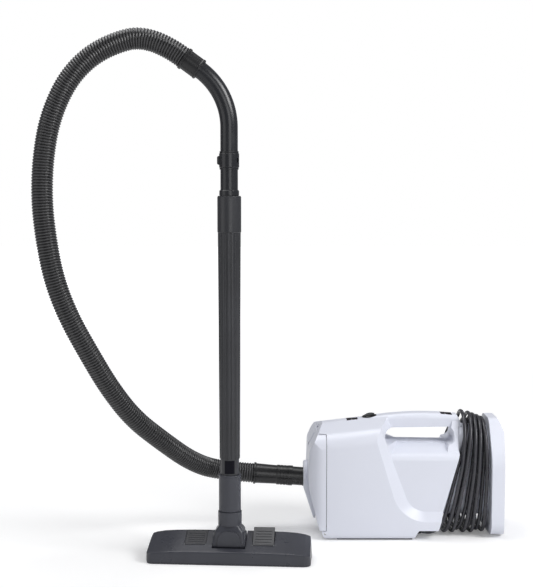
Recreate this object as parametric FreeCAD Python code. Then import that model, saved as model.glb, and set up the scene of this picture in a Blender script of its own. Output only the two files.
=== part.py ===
"""Portable canister vacuum cleaner with its hose, wand and floor tool, in millimetres.

The machine lies on its belly along X with its hose inlet towards -X. The wand
stands upright beside it on the floor tool. +Z is up and the floor is z = 0.
"""
import FreeCAD, Part
import math
import os

V = FreeCAD.Vector

# Fits and walls
wall = 2.6
running_gap = 0.08
free_gap = 0.4
seat_gap = 0.3

# Where the machine and the wand stand in the common frame
machine_x = 85.0
machine_y = 80.0
wand_x = -180.0
wand_y = -117.5
tool_yaw = -4.2

# Machine housing, measured from the machine's own middle
seam_x = -90.0
nose_x = -105.0
nose_z = 195.0
lip_x = -98.0
lip_z = 17.5
lip_chamfer = 1.8
lip_base_round = 12.0
base_z = 2.4
belly_end_x = 72.0
rear_base_z = 18.0
chamber_half = 88.0
motor_half = 76.0
handle_half = 19.0
top_z = 217.3
top_slope = 0.1164
chamber_edge_round = 28.0
ridge_half = 10.0
roof_drop = 15.0
ridge_round = 60.0
base_edge_round = 8.0
slant_low_x = 117.5
slant_top_x = 169.5
slant_top_z = 201.0
deck_edge_z = 157.0
deck_z = 170.0
handle_peak_z = 225.4
handle_edge_round = 10.0
grip_open_x0 = 20.0
grip_open_x1 = 151.5
grip_open_z0 = 171.5
grip_open_z1 = 198.5
grip_open_round = 12.0
neck_half = 46.0
neck_z0 = 30.0
neck_z1 = 203.0
neck_round = 44.0

# Rear plate
plate_x0 = 216.5
plate_depth = 23.5
plate_half = 80.0
plate_z0 = 4.0
plate_z1 = 219.0
plate_round = 26.0
plate_dome = 8.0
plate_top_half = 34.0
plate_shoulder_z = 150.0
exhaust_slots = 9
exhaust_slot_width = 5.0
exhaust_slot_pitch = 11.0

# Front cover and inlet
cover_front_x = -122.5
cover_wall = 2.8
cover_gap = 0.8
cover_corner_round = 30.0
hinge_x = -93.5
hinge_z = 12.0
hinge_pin_d = 4.0
inlet_z = 100.5
inlet_tilt = 4.0
inlet_bore = 36.4
collar_face_x = -131.0
collar_r = 31.0
collar_edge_round = 4.0
latch_half = 15.0
latch_travel = 4.0

# Bag, filters and motor
bag_half = 66.0
bulkhead_x = 34.0
bulkhead_t = 4.0
motor_x0 = 46.0
motor_z = 92.0
fan_case_r = 61.0
fan_case_len = 36.0
fan_r = 54.0
fan_len = 16.0
motor_r = 40.0
motor_len = 66.0
shaft_d = 8.0

# Screws
screw_places = ((-70.0, 8.8, 20.0), (56.0, 8.8, 20.0), (-68.0, 181.0, 87.0), (162.5, 199.0, 12.0),
                (106.0, 25.0, 20.0))
screw_reach = 20.0
screw_head_d = 7.0
screw_shank_d = 3.4
screw_boss_d = 9.0
screw_head_y = 8.0

# Switch and strap bars
switch_x = -5.0
switch_d = 25.0
switch_flange = 1.4
strap_front_x = -38.0
strap_rear_x = 140.0
strap_pocket_len = 21.0
strap_pocket_half = 13.0
strap_pocket_deep = 17.0
strap_bar_d = 4.0

# Feet
foot_len = 140.0
foot_wide = 10.0
foot_y = 74.0
foot_recess = 1.2

# Mains cord
cord_d = 7.0
cord_exit_y = -58.0
cord_exit_z = 10.2
grommet_d = 12.0
plug_y = 85.0
plug_top_z = 118.0
winding_turns = 4.75
winding_inner = (60.0, 98.0)
winding_outer = (69.0, 106.5)
winding_mid_z = 110.8
winding_low_square = 4.5
winding_top_x = (175.5, 212.5)
winding_low_x = (128.0, 210.0)

# Hose and handle tube
hose_d = 37.5
hose_bore = 30.5
hose_rib_depth = 2.6
hose_ribs = 190
cuff_d = 36.0
cuff_face = 95.0
tube_d = 30.0
tube_wall = 2.0
tube_corner_z = 812.8
tube_end_z = 868.9
tube_end_x = -256.7
tube_foot_z = 590.0
bleed_z0 = 683.0
bleed_z1 = 708.0
bleed_wall = 2.2
bleed_open = 60.0
spigot_step = 1.0

# Wand
wand_top_z = 635.0
wand_sleeve_z = 572.0
wand_sleeve_step = 0.7
wand_flute_top_d = 39.6
wand_flute_low_step = 1.5
wand_flute_low_z = 179.0
wand_end_z = 106.0
wand_end_d = 32.6
wand_bore = 27.0
wand_flutes = 14
wand_flute_deep = 1.3

# Floor tool, measured from the wand's axis
neck_wall = 3.0
neck_top_z = 151.0
neck_low_z = 86.0
swivel_step = 1.45
tilt_z = 28.5
tilt_r = 21.5
tilt_half = 28.4
nozzle_half = 143.5
nozzle_front = -43.0
nozzle_rear = 42.0
nozzle_lip_z = 22.0
nozzle_top_z = 44.0
crown_line = ((0.0, 0.5, 0.0), (0.45, 0.1, 0.2), (0.68, -0.8, 0.8), (0.82, -2.2, 1.8),
              (0.92, -4.6, 3.4), (1.0, -8.5, 6.0))
nozzle_wall = 2.6
sole_t = 3.0
cutout_half = 29.0
cutout_room = 8.5
trunnion_d = 6.0
elbow_bore = 28.0
airway_r = 9.0
airway_dip = math.radians(40.0)
throat_sink = 3.0
arch_proud = 1.2
pedal_pin_v = -17.0
pedal_pin_d = 3.0
pedal_in = 41.0
pedal_out = 78.0
pedal_front = -20.0
pedal_rear = 24.0
pedal_lift = 14.0
wheel_r = 8.0
wheel_len = 8.0
wheel_u = 100.0
wheel_v = 30.0
brush_half = 118.0
brush_v = -36.6
mouth_half = 122.0
mouth_front = -31.6
mouth_rear = -23.6
lint_v = -17.0
lint_wide = 6.0
lint_len = 90.0
pedal_pin_z = 28.2

# Sizes that follow from the ones above
tube_bore = tube_d - 2 * tube_wall
bleed_d = tube_d + 2 * bleed_wall
spigot_d = tube_d + 2 * spigot_step
wand_sleeve_d = wand_flute_top_d + 2 * wand_sleeve_step
wand_flute_low_d = wand_end_d + 2 * wand_flute_low_step
neck_d = wand_end_d + 2 * neck_wall
swivel_d = neck_d + 2 * swivel_step
cutout_front = -(tilt_r + cutout_room)
cutout_floor = tilt_z - tilt_r - 0.5


def box(x0, x1, y0, y1, z0, z1):
    """Block between two corners."""
    return Part.makeBox(x1 - x0, y1 - y0, z1 - z0, V(x0, y0, z0))


def rod(start, direction, radius, length):
    """Round bar from a start point along a direction."""
    return Part.makeCylinder(radius, length, V(*start), V(*direction))


def ring(start, direction, outer, inner, length):
    """Round tube from a start point along a direction."""
    return rod(start, direction, outer, length).cut(rod(start, direction, inner, length))


def joined(shapes):
    """One solid from solids that touch or overlap."""
    first = shapes[0]
    if len(shapes) > 1:
        first = first.fuse(shapes[1:])
    return first.removeSplitter()


def outline(corners, plane):
    """Face inside corners (a, b, radius), each corner rounded by its radius."""
    def place(a, b):
        if plane == "xz":
            return V(a, 0, b)
        if plane == "yz":
            return V(0, a, b)
        return V(a, b, 0)
    count = len(corners)
    entries, exits, mids = [], [], []
    for i, corner in enumerate(corners):
        radius = corner[2] if len(corner) > 2 else 0.0
        here = V(corner[0], corner[1], 0)
        before = V(corners[i - 1][0], corners[i - 1][1], 0) - here
        after_corner = corners[(i + 1) % count]
        after = V(after_corner[0], after_corner[1], 0) - here
        before.normalize()
        after.normalize()
        if radius <= 0:
            entries.append(here)
            exits.append(here)
            mids.append(None)
            continue
        half = before.getAngle(after) / 2.0
        reach = radius / math.tan(half)
        bisector = before + after
        bisector.normalize()
        entries.append(here + before * reach)
        exits.append(here + after * reach)
        mids.append(here + bisector * (radius / math.sin(half) - radius))
    edges = []
    for i in range(count):
        start, end = exits[i - 1], entries[i]
        if (start - end).Length > 1e-6:
            edges.append(Part.LineSegment(place(start.x, start.y), place(end.x, end.y)).toShape())
        if mids[i] is not None:
            arc = Part.Arc(place(entries[i].x, entries[i].y), place(mids[i].x, mids[i].y),
                           place(exits[i].x, exits[i].y))
            edges.append(arc.toShape())
    return Part.Face(Part.Wire(edges))


def slab(corners, plane, low, high):
    """Rounded outline pushed square to its plane, from low to high."""
    face = outline(corners, plane)
    push = {"xz": V(0, 1, 0), "yz": V(1, 0, 0), "xy": V(0, 0, 1)}[plane]
    face.translate(push * low)
    return face.extrude(push * (high - low))


def turned(profile, start, direction):
    """Solid of revolution from (distance along, radius) corners."""
    points = [V(radius, 0, along) for along, radius in profile]
    face = Part.Face(Part.makePolygon(points + [points[0]]))
    solid = face.revolve(V(0, 0, 0), V(0, 0, 1), 360)
    turn = FreeCAD.Rotation(V(0, 0, 1), V(*direction))
    solid.Placement = FreeCAD.Placement(V(*start), turn)
    return solid


def mirrored_y(shape):
    """The same shape on the other side of the machine's middle plane."""
    return shape.mirror(V(0, 0, 0), V(0, 1, 0))


def rear_slant(z, inset=0.0):
    """X of the slanted rear face of the motor section at height z."""
    slope = (slant_top_x - slant_low_x) / (slant_top_z - rear_base_z)
    return slant_low_x + (z - rear_base_z) * slope - inset


def chamber_outline(band_top_x, knee_z, knee_round, inset):
    """Side outline of the wide bag section, its rear edge the slanted band."""
    top = 240.0
    band_slope = 0.377 if knee_z > 40.0 else 0.306
    knee_x = band_top_x + (212.0 - knee_z) * band_slope
    rear_x = rear_slant(knee_z, inset)
    front = [(lip_x + lip_chamfer, lip_z), (lip_x, lip_z - lip_chamfer), (lip_x, base_z, lip_base_round)]
    nose = [(nose_x + 40.0, top), (nose_x, nose_z), (seam_x, nose_z), (seam_x, lip_z)]
    if inset > 0:
        front = [(seam_x - 1.0, lip_z + 3.0), (seam_x + 6.0, lip_z + 3.0),
                 (seam_x + 6.0, base_z + inset, 4.0)]
        nose = [(seam_x + 6.0, top), (seam_x + 6.0, nose_z - 4.0), (seam_x - 1.0, nose_z - 4.0)]
    return front + [
        (belly_end_x - inset, base_z + inset, 2.0),
        (belly_end_x + 9.0 - inset, rear_base_z + inset, 2.0),
        (rear_slant(rear_base_z + inset, inset), rear_base_z + inset),
        (rear_x, knee_z - inset),
        (knee_x - inset, knee_z - inset, knee_round),
        (band_top_x - (top - 212.0) * band_slope - inset, top),
    ] + nose


def roof_section(inset):
    """Front view of the bag section: flat sides, rounded edges and a roof that falls away from its ridge."""
    half = chamber_half - inset
    crown = top_z - inset
    side = crown - roof_drop
    return [(-half, -80.0), (half, -80.0), (half, side, chamber_edge_round - inset),
            (ridge_half, crown, ridge_round), (-ridge_half, crown, ridge_round),
            (-half, side, chamber_edge_round - inset)]


def roof_form(inset):
    """Long block under the sloping, crowned roof line."""
    roof = outline(roof_section(inset), "yz")
    roof.translate(V(-130, 0, -130 * top_slope))
    return roof.extrude(V(270, 0, 270 * top_slope))


def chamber_form(inset):
    """The wide bag section, whole, its walls moved in by inset."""
    stations = ((handle_half - inset, 30.0, 51.6, 38.0), (motor_half - inset, 7.5, 51.6, 38.0),
                (chamber_half - inset, -6.5, 34.5, 66.0))
    wires = [outline(chamber_outline(top_x, knee_z, knee_round, inset), "xz")
             for half, top_x, knee_z, knee_round in stations]
    core = wires[0].copy()
    core.translate(V(0, -stations[0][0], 0))
    solid = core.extrude(V(0, 2 * stations[0][0], 0))
    for near, far in ((0, 1), (1, 2)):
        inner = wires[near].OuterWire.copy()
        outer = wires[far].OuterWire.copy()
        inner.translate(V(0, stations[near][0], 0))
        outer.translate(V(0, stations[far][0], 0))
        flare = Part.makeLoft([inner, outer], True, True)
        solid = solid.fuse([flare, mirrored_y(flare)])
    solid = solid.removeSplitter()
    low = base_z + inset
    tray = slab([(-chamber_half + inset, low, base_edge_round),
                 (chamber_half - inset, low, base_edge_round),
                 (chamber_half - inset, 300.0), (-chamber_half + inset, 300.0)], "yz", -130, 140)
    return solid.common(roof_form(inset)).common(tray)


def motor_form(inset):
    """The narrower motor section under the handle, whole, moved in by inset."""
    low = rear_base_z + inset
    side = slab([(-20.0, low), (rear_slant(low, inset), low), (rear_slant(240.0, inset), 240.0),
                 (-20.0, 240.0)],
                "xz", -100, 100)
    half = motor_half - inset
    deck_half = handle_half - 1.0
    front = slab([(-half, low, base_edge_round), (half, low, base_edge_round),
                  (half, deck_edge_z - inset, 14.0), (deck_half, deck_z - inset),
                  (-deck_half, deck_z - inset), (-half, deck_edge_z - inset, 14.0)], "yz", -30, 190)
    return side.common(front)


def handle_form(inset):
    """The upright blade that holds the grip opening, moved in by inset."""
    half = handle_half - inset
    arc_mid = V(80.0, 0, handle_peak_z - inset)
    start = V(-14.0, 0, top_z - 14.0 * top_slope - inset)
    end = V(160.0, 0, 222.0 - inset)
    low = 140.0
    edges = [Part.Arc(start, arc_mid, end).toShape()]
    rim = [end, V(rear_slant(slant_top_z, inset), 0, slant_top_z), V(rear_slant(low, inset), 0, low),
           V(-14.0, 0, low), start]
    for here, there in zip(rim, rim[1:]):
        edges.append(Part.LineSegment(here, there).toShape())
    face = Part.Face(Part.Wire(edges))
    face.translate(V(0, -half, 0))
    blade = face.extrude(V(0, 2 * half, 0))
    top_edges = [edge for edge in blade.Edges
                 if edge.BoundBox.ZMin > slant_top_z and edge.BoundBox.XLength > 50.0
                 and edge.BoundBox.YLength < 0.1]
    return blade.makeFillet(handle_edge_round - inset / 2.0, top_edges)


def rear_root(inset):
    """The flare that spreads the handle's rear end down to the motor section."""
    low_z, high_z = deck_edge_z - 8.0, 214.0
    wires = []
    for z, half, long in ((low_z, motor_half - 6.0, 22.0), (high_z, handle_half - 2.0, 12.0)):
        x1 = min(rear_slant(z), rear_slant(slant_top_z) - (z - slant_top_z) * 0.5) - inset
        x0 = x1 - long + inset
        corners = [V(x0, -half + inset, z), V(x1, -half + inset, z), V(x1, half - inset, z),
                   V(x0, half - inset, z)]
        wires.append(Part.makePolygon(corners + [corners[0]]))
    return Part.makeLoft(wires, True, True)


def neck_form(inset):
    """The reel neck between the motor section and the rear plate."""
    half = neck_half - inset
    whole = slab(oblong(-half, half, neck_z0 + inset, neck_z1 - inset, neck_round - inset), "yz", 60.0,
                 plate_x0)
    behind = slab([(rear_slant(0.0) - 6.0, 0.0), (plate_x0 + 10.0, 0.0), (plate_x0 + 10.0, 240.0),
                   (rear_slant(240.0) - 6.0, 240.0)], "xz", -100, 100)
    return whole.common(behind)


def grip_hole(grow):
    """The finger opening through the handle, grown by a wall."""
    return slab([(grip_open_x0 - grow, grip_open_z0 + 2.0 - grow, grip_open_round + grow),
                 (grip_open_x1 - grow / 2 + grow, grip_open_z0 - grow, grip_open_round + grow),
                 (grip_open_x1 + grow, grip_open_z1 + grow + 2.0, grip_open_round - 2.0 + grow),
                 (grip_open_x0 - 2.0 - grow, grip_open_z1 + grow,
                  grip_open_round - 2.0 + grow)], "xz", -100, 100)


def oblong(u0, u1, v0, v1, radius=0.0):
    """The four points of an upright rectangle, with one corner radius."""
    return [(u0, v0, radius), (u1, v0, radius), (u1, v1, radius), (u0, v1, radius)]


def moved(shape, offset):
    """Copy of a shape shifted by an offset."""
    copy = shape.copy()
    copy.translate(V(*offset))
    return copy


def inlet_frame():
    """Start point and direction of the tilted inlet axis, pointing out of the machine."""
    tilt = math.radians(inlet_tilt)
    return (collar_face_x, 0.0, inlet_z), (-math.cos(tilt), 0.0, math.sin(tilt))


def along(start, direction, distance):
    """Point at a distance from the start along the direction."""
    return tuple(a + b * distance for a, b in zip(start, direction))


def top_height(x):
    """Height of the bag section's top line at x."""
    return top_z + x * top_slope


def pocket_spec():
    """Middle x, top height and depth of each strap pocket."""
    return ((strap_front_x, top_height(strap_front_x), strap_pocket_deep),
            (strap_rear_x, 224.6, strap_pocket_deep - 3.0))


def strap_pocket(x, z_top, deep, grow):
    """Block of a strap pocket under the top surface, grown by its wall."""
    half_x = strap_pocket_len / 2.0 + grow
    half_y = strap_pocket_half + grow
    low = z_top - deep - grow
    return slab([(x - half_x, low, 3.0), (x + half_x, low, 3.0), (x + half_x, z_top + 20.0),
                 (x - half_x, z_top + 20.0)], "xz", -half_y, half_y)


def housing_shell():
    """Both halves of the housing before they are parted at the middle plane."""
    outer = joined([chamber_form(0.0), motor_form(0.0), handle_form(0.0), rear_root(0.0), neck_form(0.0)])
    outer = outer.cut(grip_hole(0.0))
    grip_wall = grip_hole(wall)
    hollow = joined([chamber_form(wall), motor_form(wall)])
    blade_hollow = handle_form(wall).fuse(neck_form(wall)).cut(grip_wall)
    hollow = hollow.cut(slab(oblong(grip_open_x0 - 30.0, 300.0, 0.0, 300.0), "xz", -handle_half + wall,
                             handle_half - wall).common(grip_wall))
    hollow = hollow.cut(grip_wall).fuse(blade_hollow)
    shell = outer.cut(hollow)
    extras = []
    for x, z_top, deep in pocket_spec():
        extras.append(strap_pocket(x, z_top, deep, wall).common(outer))
    for x, z, half in screw_places:
        extras.append(rod((x, -half, z), (0, 1, 0), screw_boss_d / 2, half).common(outer))
        extras.append(rod((x, 0, z), (0, 1, 0), screw_boss_d / 2 + 1.0, chamber_half).common(outer))
    for y, z in plate_screw_places():
        extras.append(rod((plate_x0 - 20.0, y, z), (1, 0, 0), 5.0, 20.0).common(outer))
    shell = shell.fuse(extras)
    cuts = [grip_hole(0.0)]
    for x, z_top, deep in pocket_spec():
        cuts.append(strap_pocket(x, z_top, deep, 0.0))
        bar_z = z_top - 5.0
        cuts.append(rod((x, -strap_pocket_half - 2.0, bar_z), (0, 1, 0), strap_bar_d / 2,
                        2 * strap_pocket_half + 4.0))
    for x, z, half in screw_places:
        deep = min(half, screw_reach) + 1.0
        cuts.append(rod((x, -deep, z), (0, 1, 0), screw_shank_d / 2, deep + screw_head_y))
        cuts.append(rod((x, screw_head_y, z), (0, 1, 0), screw_head_d / 2 + 0.3, 120.0))
    for y, z in plate_screw_places():
        cuts.append(rod((plate_x0 - 21.0, y, z), (1, 0, 0), screw_shank_d / 2, 22.0))
    cuts.append(switch_hole())
    cuts.append(switch_seat())
    cuts.append(rod((belly_end_x - 10.0, cord_exit_y, cord_exit_z), (1, 0, 0), grommet_d / 2 + 0.05, 30.0))
    for side in (-1, 1):
        cuts.append(foot_block(side, base_z - 1.0, base_z + foot_recess))
    for y0, y1 in hinge_knuckles():
        cuts.append(box(lip_x - 5.0, seam_x + 3.0, y0 - free_gap, y1 + free_gap, hinge_z - 6.5,
                        lip_z + 5.0))
    cuts.append(rod((hinge_x, -chamber_half - 1.0, hinge_z), (0, 1, 0), hinge_pin_d / 2,
                    2 * chamber_half - 11.0))
    cuts.append(box(nose_x - 1.0, -95.0, -9.5, 9.5, nose_z - 1.0, nose_z + 5.0))
    return shell.cut(cuts)


def housing_half(whole, side):
    """The half of the housing on one side of the middle plane."""
    low, high = (-120.0, 0.0) if side < 0 else (0.0, 120.0)
    return whole.common(box(-200, 300, low, high, -10, 300))


def foot_block(side, low, high):
    """Long rubber foot strip under one side of the belly."""
    y0 = side * foot_y - foot_wide / 2.0
    return box(-foot_len / 2.0, foot_len / 2.0, y0, y0 + foot_wide, low, high)


def hinge_knuckles():
    """Y ranges of the cover's three hinge knuckles."""
    return ((-72.0, -58.0), (-7.0, 7.0), (58.0, 72.0))


def plate_screw_places():
    """Y and z of the four rear plate screws, beside the neck's walls."""
    return [(side * (neck_half - wall - 4.0), z) for side in (-1, 1) for z in (82.0, 146.0)]


def switch_axis():
    """Middle of the switch on the top surface and the direction it faces."""
    slope = math.atan(top_slope)
    return (switch_x, 0.0, top_height(switch_x)), (-math.sin(slope), 0.0, math.cos(slope))


def switch_hole():
    """Round hole that the switch's barrel drops into."""
    start, facing = switch_axis()
    return rod(along(start, facing, -20.0), facing, switch_d / 2 - 0.3, 30.0)


def switch_seat():
    """Flat seat that the switch's flange rests on."""
    start, facing = switch_axis()
    return rod(along(start, facing, 0.5), facing, switch_d / 2 + switch_flange + 0.2, 12.0)


def housing_screws():
    """Five self-tapping screws that hold the housing halves together."""
    screws = []
    for x, z, half in screw_places:
        length = screw_head_y + min(half, screw_reach) * 0.6
        shank = rod((x, screw_head_y - length, z), (0, 1, 0), screw_shank_d / 2, length)
        head = rod((x, screw_head_y, z), (0, 1, 0), screw_head_d / 2, 2.6)
        slot = box(x - 0.5, x + 0.5, screw_head_y + 1.4, screw_head_y + 3.0, z - 2.4, z + 2.4)
        screws.append(joined([shank, head]).cut([slot, slot.copy().rotated(V(x, 0, z), V(0, 1, 0), 90)]))
    return Part.makeCompound(screws)


def cover_form(inset):
    """The dished front cover, whole, moved in by inset."""
    x_seam = seam_x - (cover_gap if inset == 0 else -1.0)
    low = lip_z + cover_gap + inset
    high = nose_z - cover_gap - inset
    side = slab([(x_seam, low), (-103.0 + inset, low, 4.0), (cover_front_x - 1.5 + inset, 100.0, 150.0),
                 (cover_front_x + 1.0 + inset, 166.0, 24.0), (-106.5 + inset, high, 3.0), (x_seam, high)],
                "xz", -100, 100)
    half = chamber_half - inset
    front = cover_front_x - 4.0 + inset
    plan = slab([(x_seam + 1.0, -half), (front, -half, cover_corner_round - inset),
                 (front, half, cover_corner_round - inset), (x_seam + 1.0, half)], "xy", 0, 240)
    return side.common(plan).common(roof_form(inset))


def front_cover():
    """Front cover dish with its inlet hole, hinge knuckles and latch window."""
    start, facing = inlet_frame()
    shell = cover_form(0.0).cut(cover_form(cover_wall))
    arms = []
    for y0, y1 in hinge_knuckles():
        eye = rod((hinge_x, y0, hinge_z), (0, 1, 0), 4.6, y1 - y0)
        arm = slab(oblong(hinge_x - 4.6, hinge_x + 1.0, hinge_z, lip_z + 4.0), "xz", y0, y1)
        arms += [eye, arm]
    shell = shell.fuse(arms)
    shell = shell.fuse(ring(along(start, facing, -33.0), facing, 24.5, inlet_bore / 2 + 2.2,
                            25.0).common(cover_form(0.5)))
    window = box(-130.0, -96.0, -latch_half - free_gap, latch_half + free_gap,
                 168.0 - latch_travel - free_gap, 189.0 + free_gap)
    hole = rod(along(start, facing, -45.0), facing, inlet_bore / 2 + 2.2, 60.0)
    pin = rod((hinge_x, -100, hinge_z), (0, 1, 0), hinge_pin_d / 2 + running_gap, 200.0)
    tongue_slot = box(-103.0, -98.0, -8.6, 8.6, 186.0, 200.0)
    return shell.cut([window, hole, pin, tongue_slot]).removeSplitter()


def cover_latch():
    """Sliding thumb latch at the cover's top, with its tongue under the nose."""
    skin = cover_form(-1.2).cut(cover_form(2.0)).common(box(-130.0, -96.0, -latch_half, latch_half, 168.0,
                                                            189.0))
    tongue = box(-102.0, -99.0, -8.0, 8.0, 180.0, nose_z + 3.4)
    bridge = box(-117.0, -99.0, -8.0, 8.0, 180.0, 184.0).common(cover_form(0.5))
    return joined([skin, tongue, bridge])


def hinge_pin():
    """Pin of the cover's hinge."""
    return rod((hinge_x, -chamber_half + 1.0, hinge_z), (0, 1, 0), hinge_pin_d / 2, 2 * chamber_half - 13.0)


def inlet_collar():
    """Shield-shaped boss round the inlet, with the sleeve that lines it."""
    start, facing = inlet_frame()
    shield = slab([(-collar_r, inlet_z + collar_r, collar_r - 5.0),
                   (collar_r, inlet_z + collar_r, collar_r - 5.0),
                   (17.0, 22.0, 9.0), (-17.0, 22.0, 9.0)], "yz", collar_face_x, -108.0)
    wedge = slab([(-150.0, 84.0), (collar_face_x, 84.0), (-109.0, 15.0), (-150.0, 15.0)], "xz", -60, 60)
    shield = shield.cut(wedge)
    rim = [edge for edge in shield.Edges if edge.BoundBox.XMin > collar_face_x - 0.01
           and edge.BoundBox.XMax < -109.0
           and not (edge.BoundBox.YLength > 20.0 and edge.BoundBox.XLength < 0.01
                    and abs(edge.BoundBox.ZMin - 84.0) < 0.01)
           and edge.BoundBox.ZMax > 30.0]
    flange = shield.makeFillet(collar_edge_round, rim).cut(cover_form(0.0))
    sleeve = rod(along(start, facing, -30.0), facing, inlet_bore / 2 + 2.1, 24.0).common(
        box(-128.0, -90.0, -40, 40, 0, 200))
    body = joined([flange, sleeve])
    bore = rod(along(start, facing, -60.0), facing, inlet_bore / 2, 80.0)
    solids = body.cut(bore).Solids
    return max(solids, key=lambda piece: piece.Volume)


def inlet_gasket():
    """Rubber lip ring behind the inlet sleeve."""
    start, facing = inlet_frame()
    return ring(along(start, facing, -37.5), facing, 24.5, inlet_bore / 2 + 0.4, 4.5)


def hose_end_fitting():
    """Rigid fitting that plugs into the inlet and turns in it."""
    start, facing = inlet_frame()
    outer = inlet_bore / 2 - running_gap
    profile = [(-30.0, 14.6), (-30.0, outer - 0.9), (-24.0, outer), (0.6, outer), (1.2, 17.4), (20.5, 17.4),
               (20.5, 19.0), (29.0, 19.0), (29.0, 16.0), (74.0, 16.0), (74.0, 14.6)]
    return turned(profile, start, facing)


def hose_cuff_machine():
    """Ribbed end cuff of the hose, turning on the fitting."""
    start, facing = inlet_frame()
    inner = 16.0 + running_gap
    profile = [(29.3, inner), (29.3, 18.8)]
    for step in range(3):
        base = 31.5 + step * 6.2
        profile += [(base, 18.8), (base, 17.9), (base + 1.4, 17.9), (base + 1.4, 18.8)]
    profile += [(50.0, 18.8), (51.5, 17.6), (90.0, 18.7), (91.0, 20.4), (94.5, 20.4), (95.0, 19.6),
                (95.0, 15.25),
                (76.0, 15.25), (74.4, inner)]
    return turned(profile, start, facing)


def bag_and_filters():
    """Everything in the bag chamber and at its rear wall."""
    pieces = {}
    centre_z = 96.0
    bag_shape = slab(oblong(-bag_half, bag_half, 24.0, 172.0, 20.0), "yz", -84.0, 18.0)
    inside = slab(oblong(-bag_half + 1.5, bag_half - 1.5, 25.5, 170.5, 18.5), "yz", -82.5, 16.5)
    pieces["dust_bag"] = bag_shape.cut([inside, rod((-85.0, 0, inlet_z + 1.2), (1, 0, 0), 17.0, 40.0)])
    plate = slab(oblong(-44.0, 44.0, centre_z - 50.0, centre_z + 56.0, 6.0), "yz", -88.0, -84.3)
    pieces["bag_collar"] = plate.cut(rod((-90.0, 0, inlet_z + 1.2), (1, 0, 0), 17.5, 10.0))
    frame = slab(oblong(-56.0, 56.0, 34.0, 164.0, 8.0), "yz", -88.0, -84.3)
    reach = chamber_half - wall - seat_gap
    arms = [box(-88.0, -84.3, min(side * 50.0, side * reach), max(side * 50.0, side * reach), 78.0, 122.0)
            for side in (-1, 1)]
    lips = [box(-89.6, -88.0, side * 45.0 - 3.5, side * 45.0 + 3.5, 60.0, 140.0) for side in (-1, 1)]
    holder = joined([frame] + arms).cut(plate)
    pieces["bag_holder"] = holder.fuse([lip.cut(plate) for lip in lips]).removeSplitter()
    inner = motor_half - wall - seat_gap
    low = rear_base_z + wall + seat_gap
    section = [(-inner, low, 6.0), (inner, low, 6.0), (inner, 148.0, 10.0), (-inner, 148.0, 10.0)]
    grid = slab(section, "yz", bulkhead_x - bulkhead_t, bulkhead_x)
    bars = [box(bulkhead_x - bulkhead_t - 1, bulkhead_x + 1, -34.0, 34.0, z, z + 5.0) for z in
            [56.0 + 9.0 * i for i in range(9)]]
    pieces["filter_grid"] = grid.cut(bars)
    pieces["motor_filter"] = slab(oblong(-50.0, 50.0, 44.0, 142.0, 6.0), "yz",
                                  bulkhead_x - bulkhead_t - 9.0, bulkhead_x - bulkhead_t - 0.3)
    neck_inner = neck_half - wall - seat_gap
    pad_inset = wall + seat_gap
    pad = slab(oblong(-neck_inner, neck_inner, neck_z0 + pad_inset, neck_z1 - pad_inset,
                      neck_round - pad_inset), "yz", plate_x0 - 14.0, plate_x0 - 0.3)
    holes = [rod((plate_x0 - 30.0, y, z), (1, 0, 0), 5.4, 40.0) for y, z in plate_screw_places()]
    side_cuts = [box(plate_x0 - 30.0, plate_x0 + 10.0, y if y > 0 else y - 10.0, y + 10.0 if y > 0 else y,
                     z - 5.4, z + 5.4)
                 for y, z in plate_screw_places()]
    pieces["exhaust_filter"] = pad.cut(holes + side_cuts)
    return pieces


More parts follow.
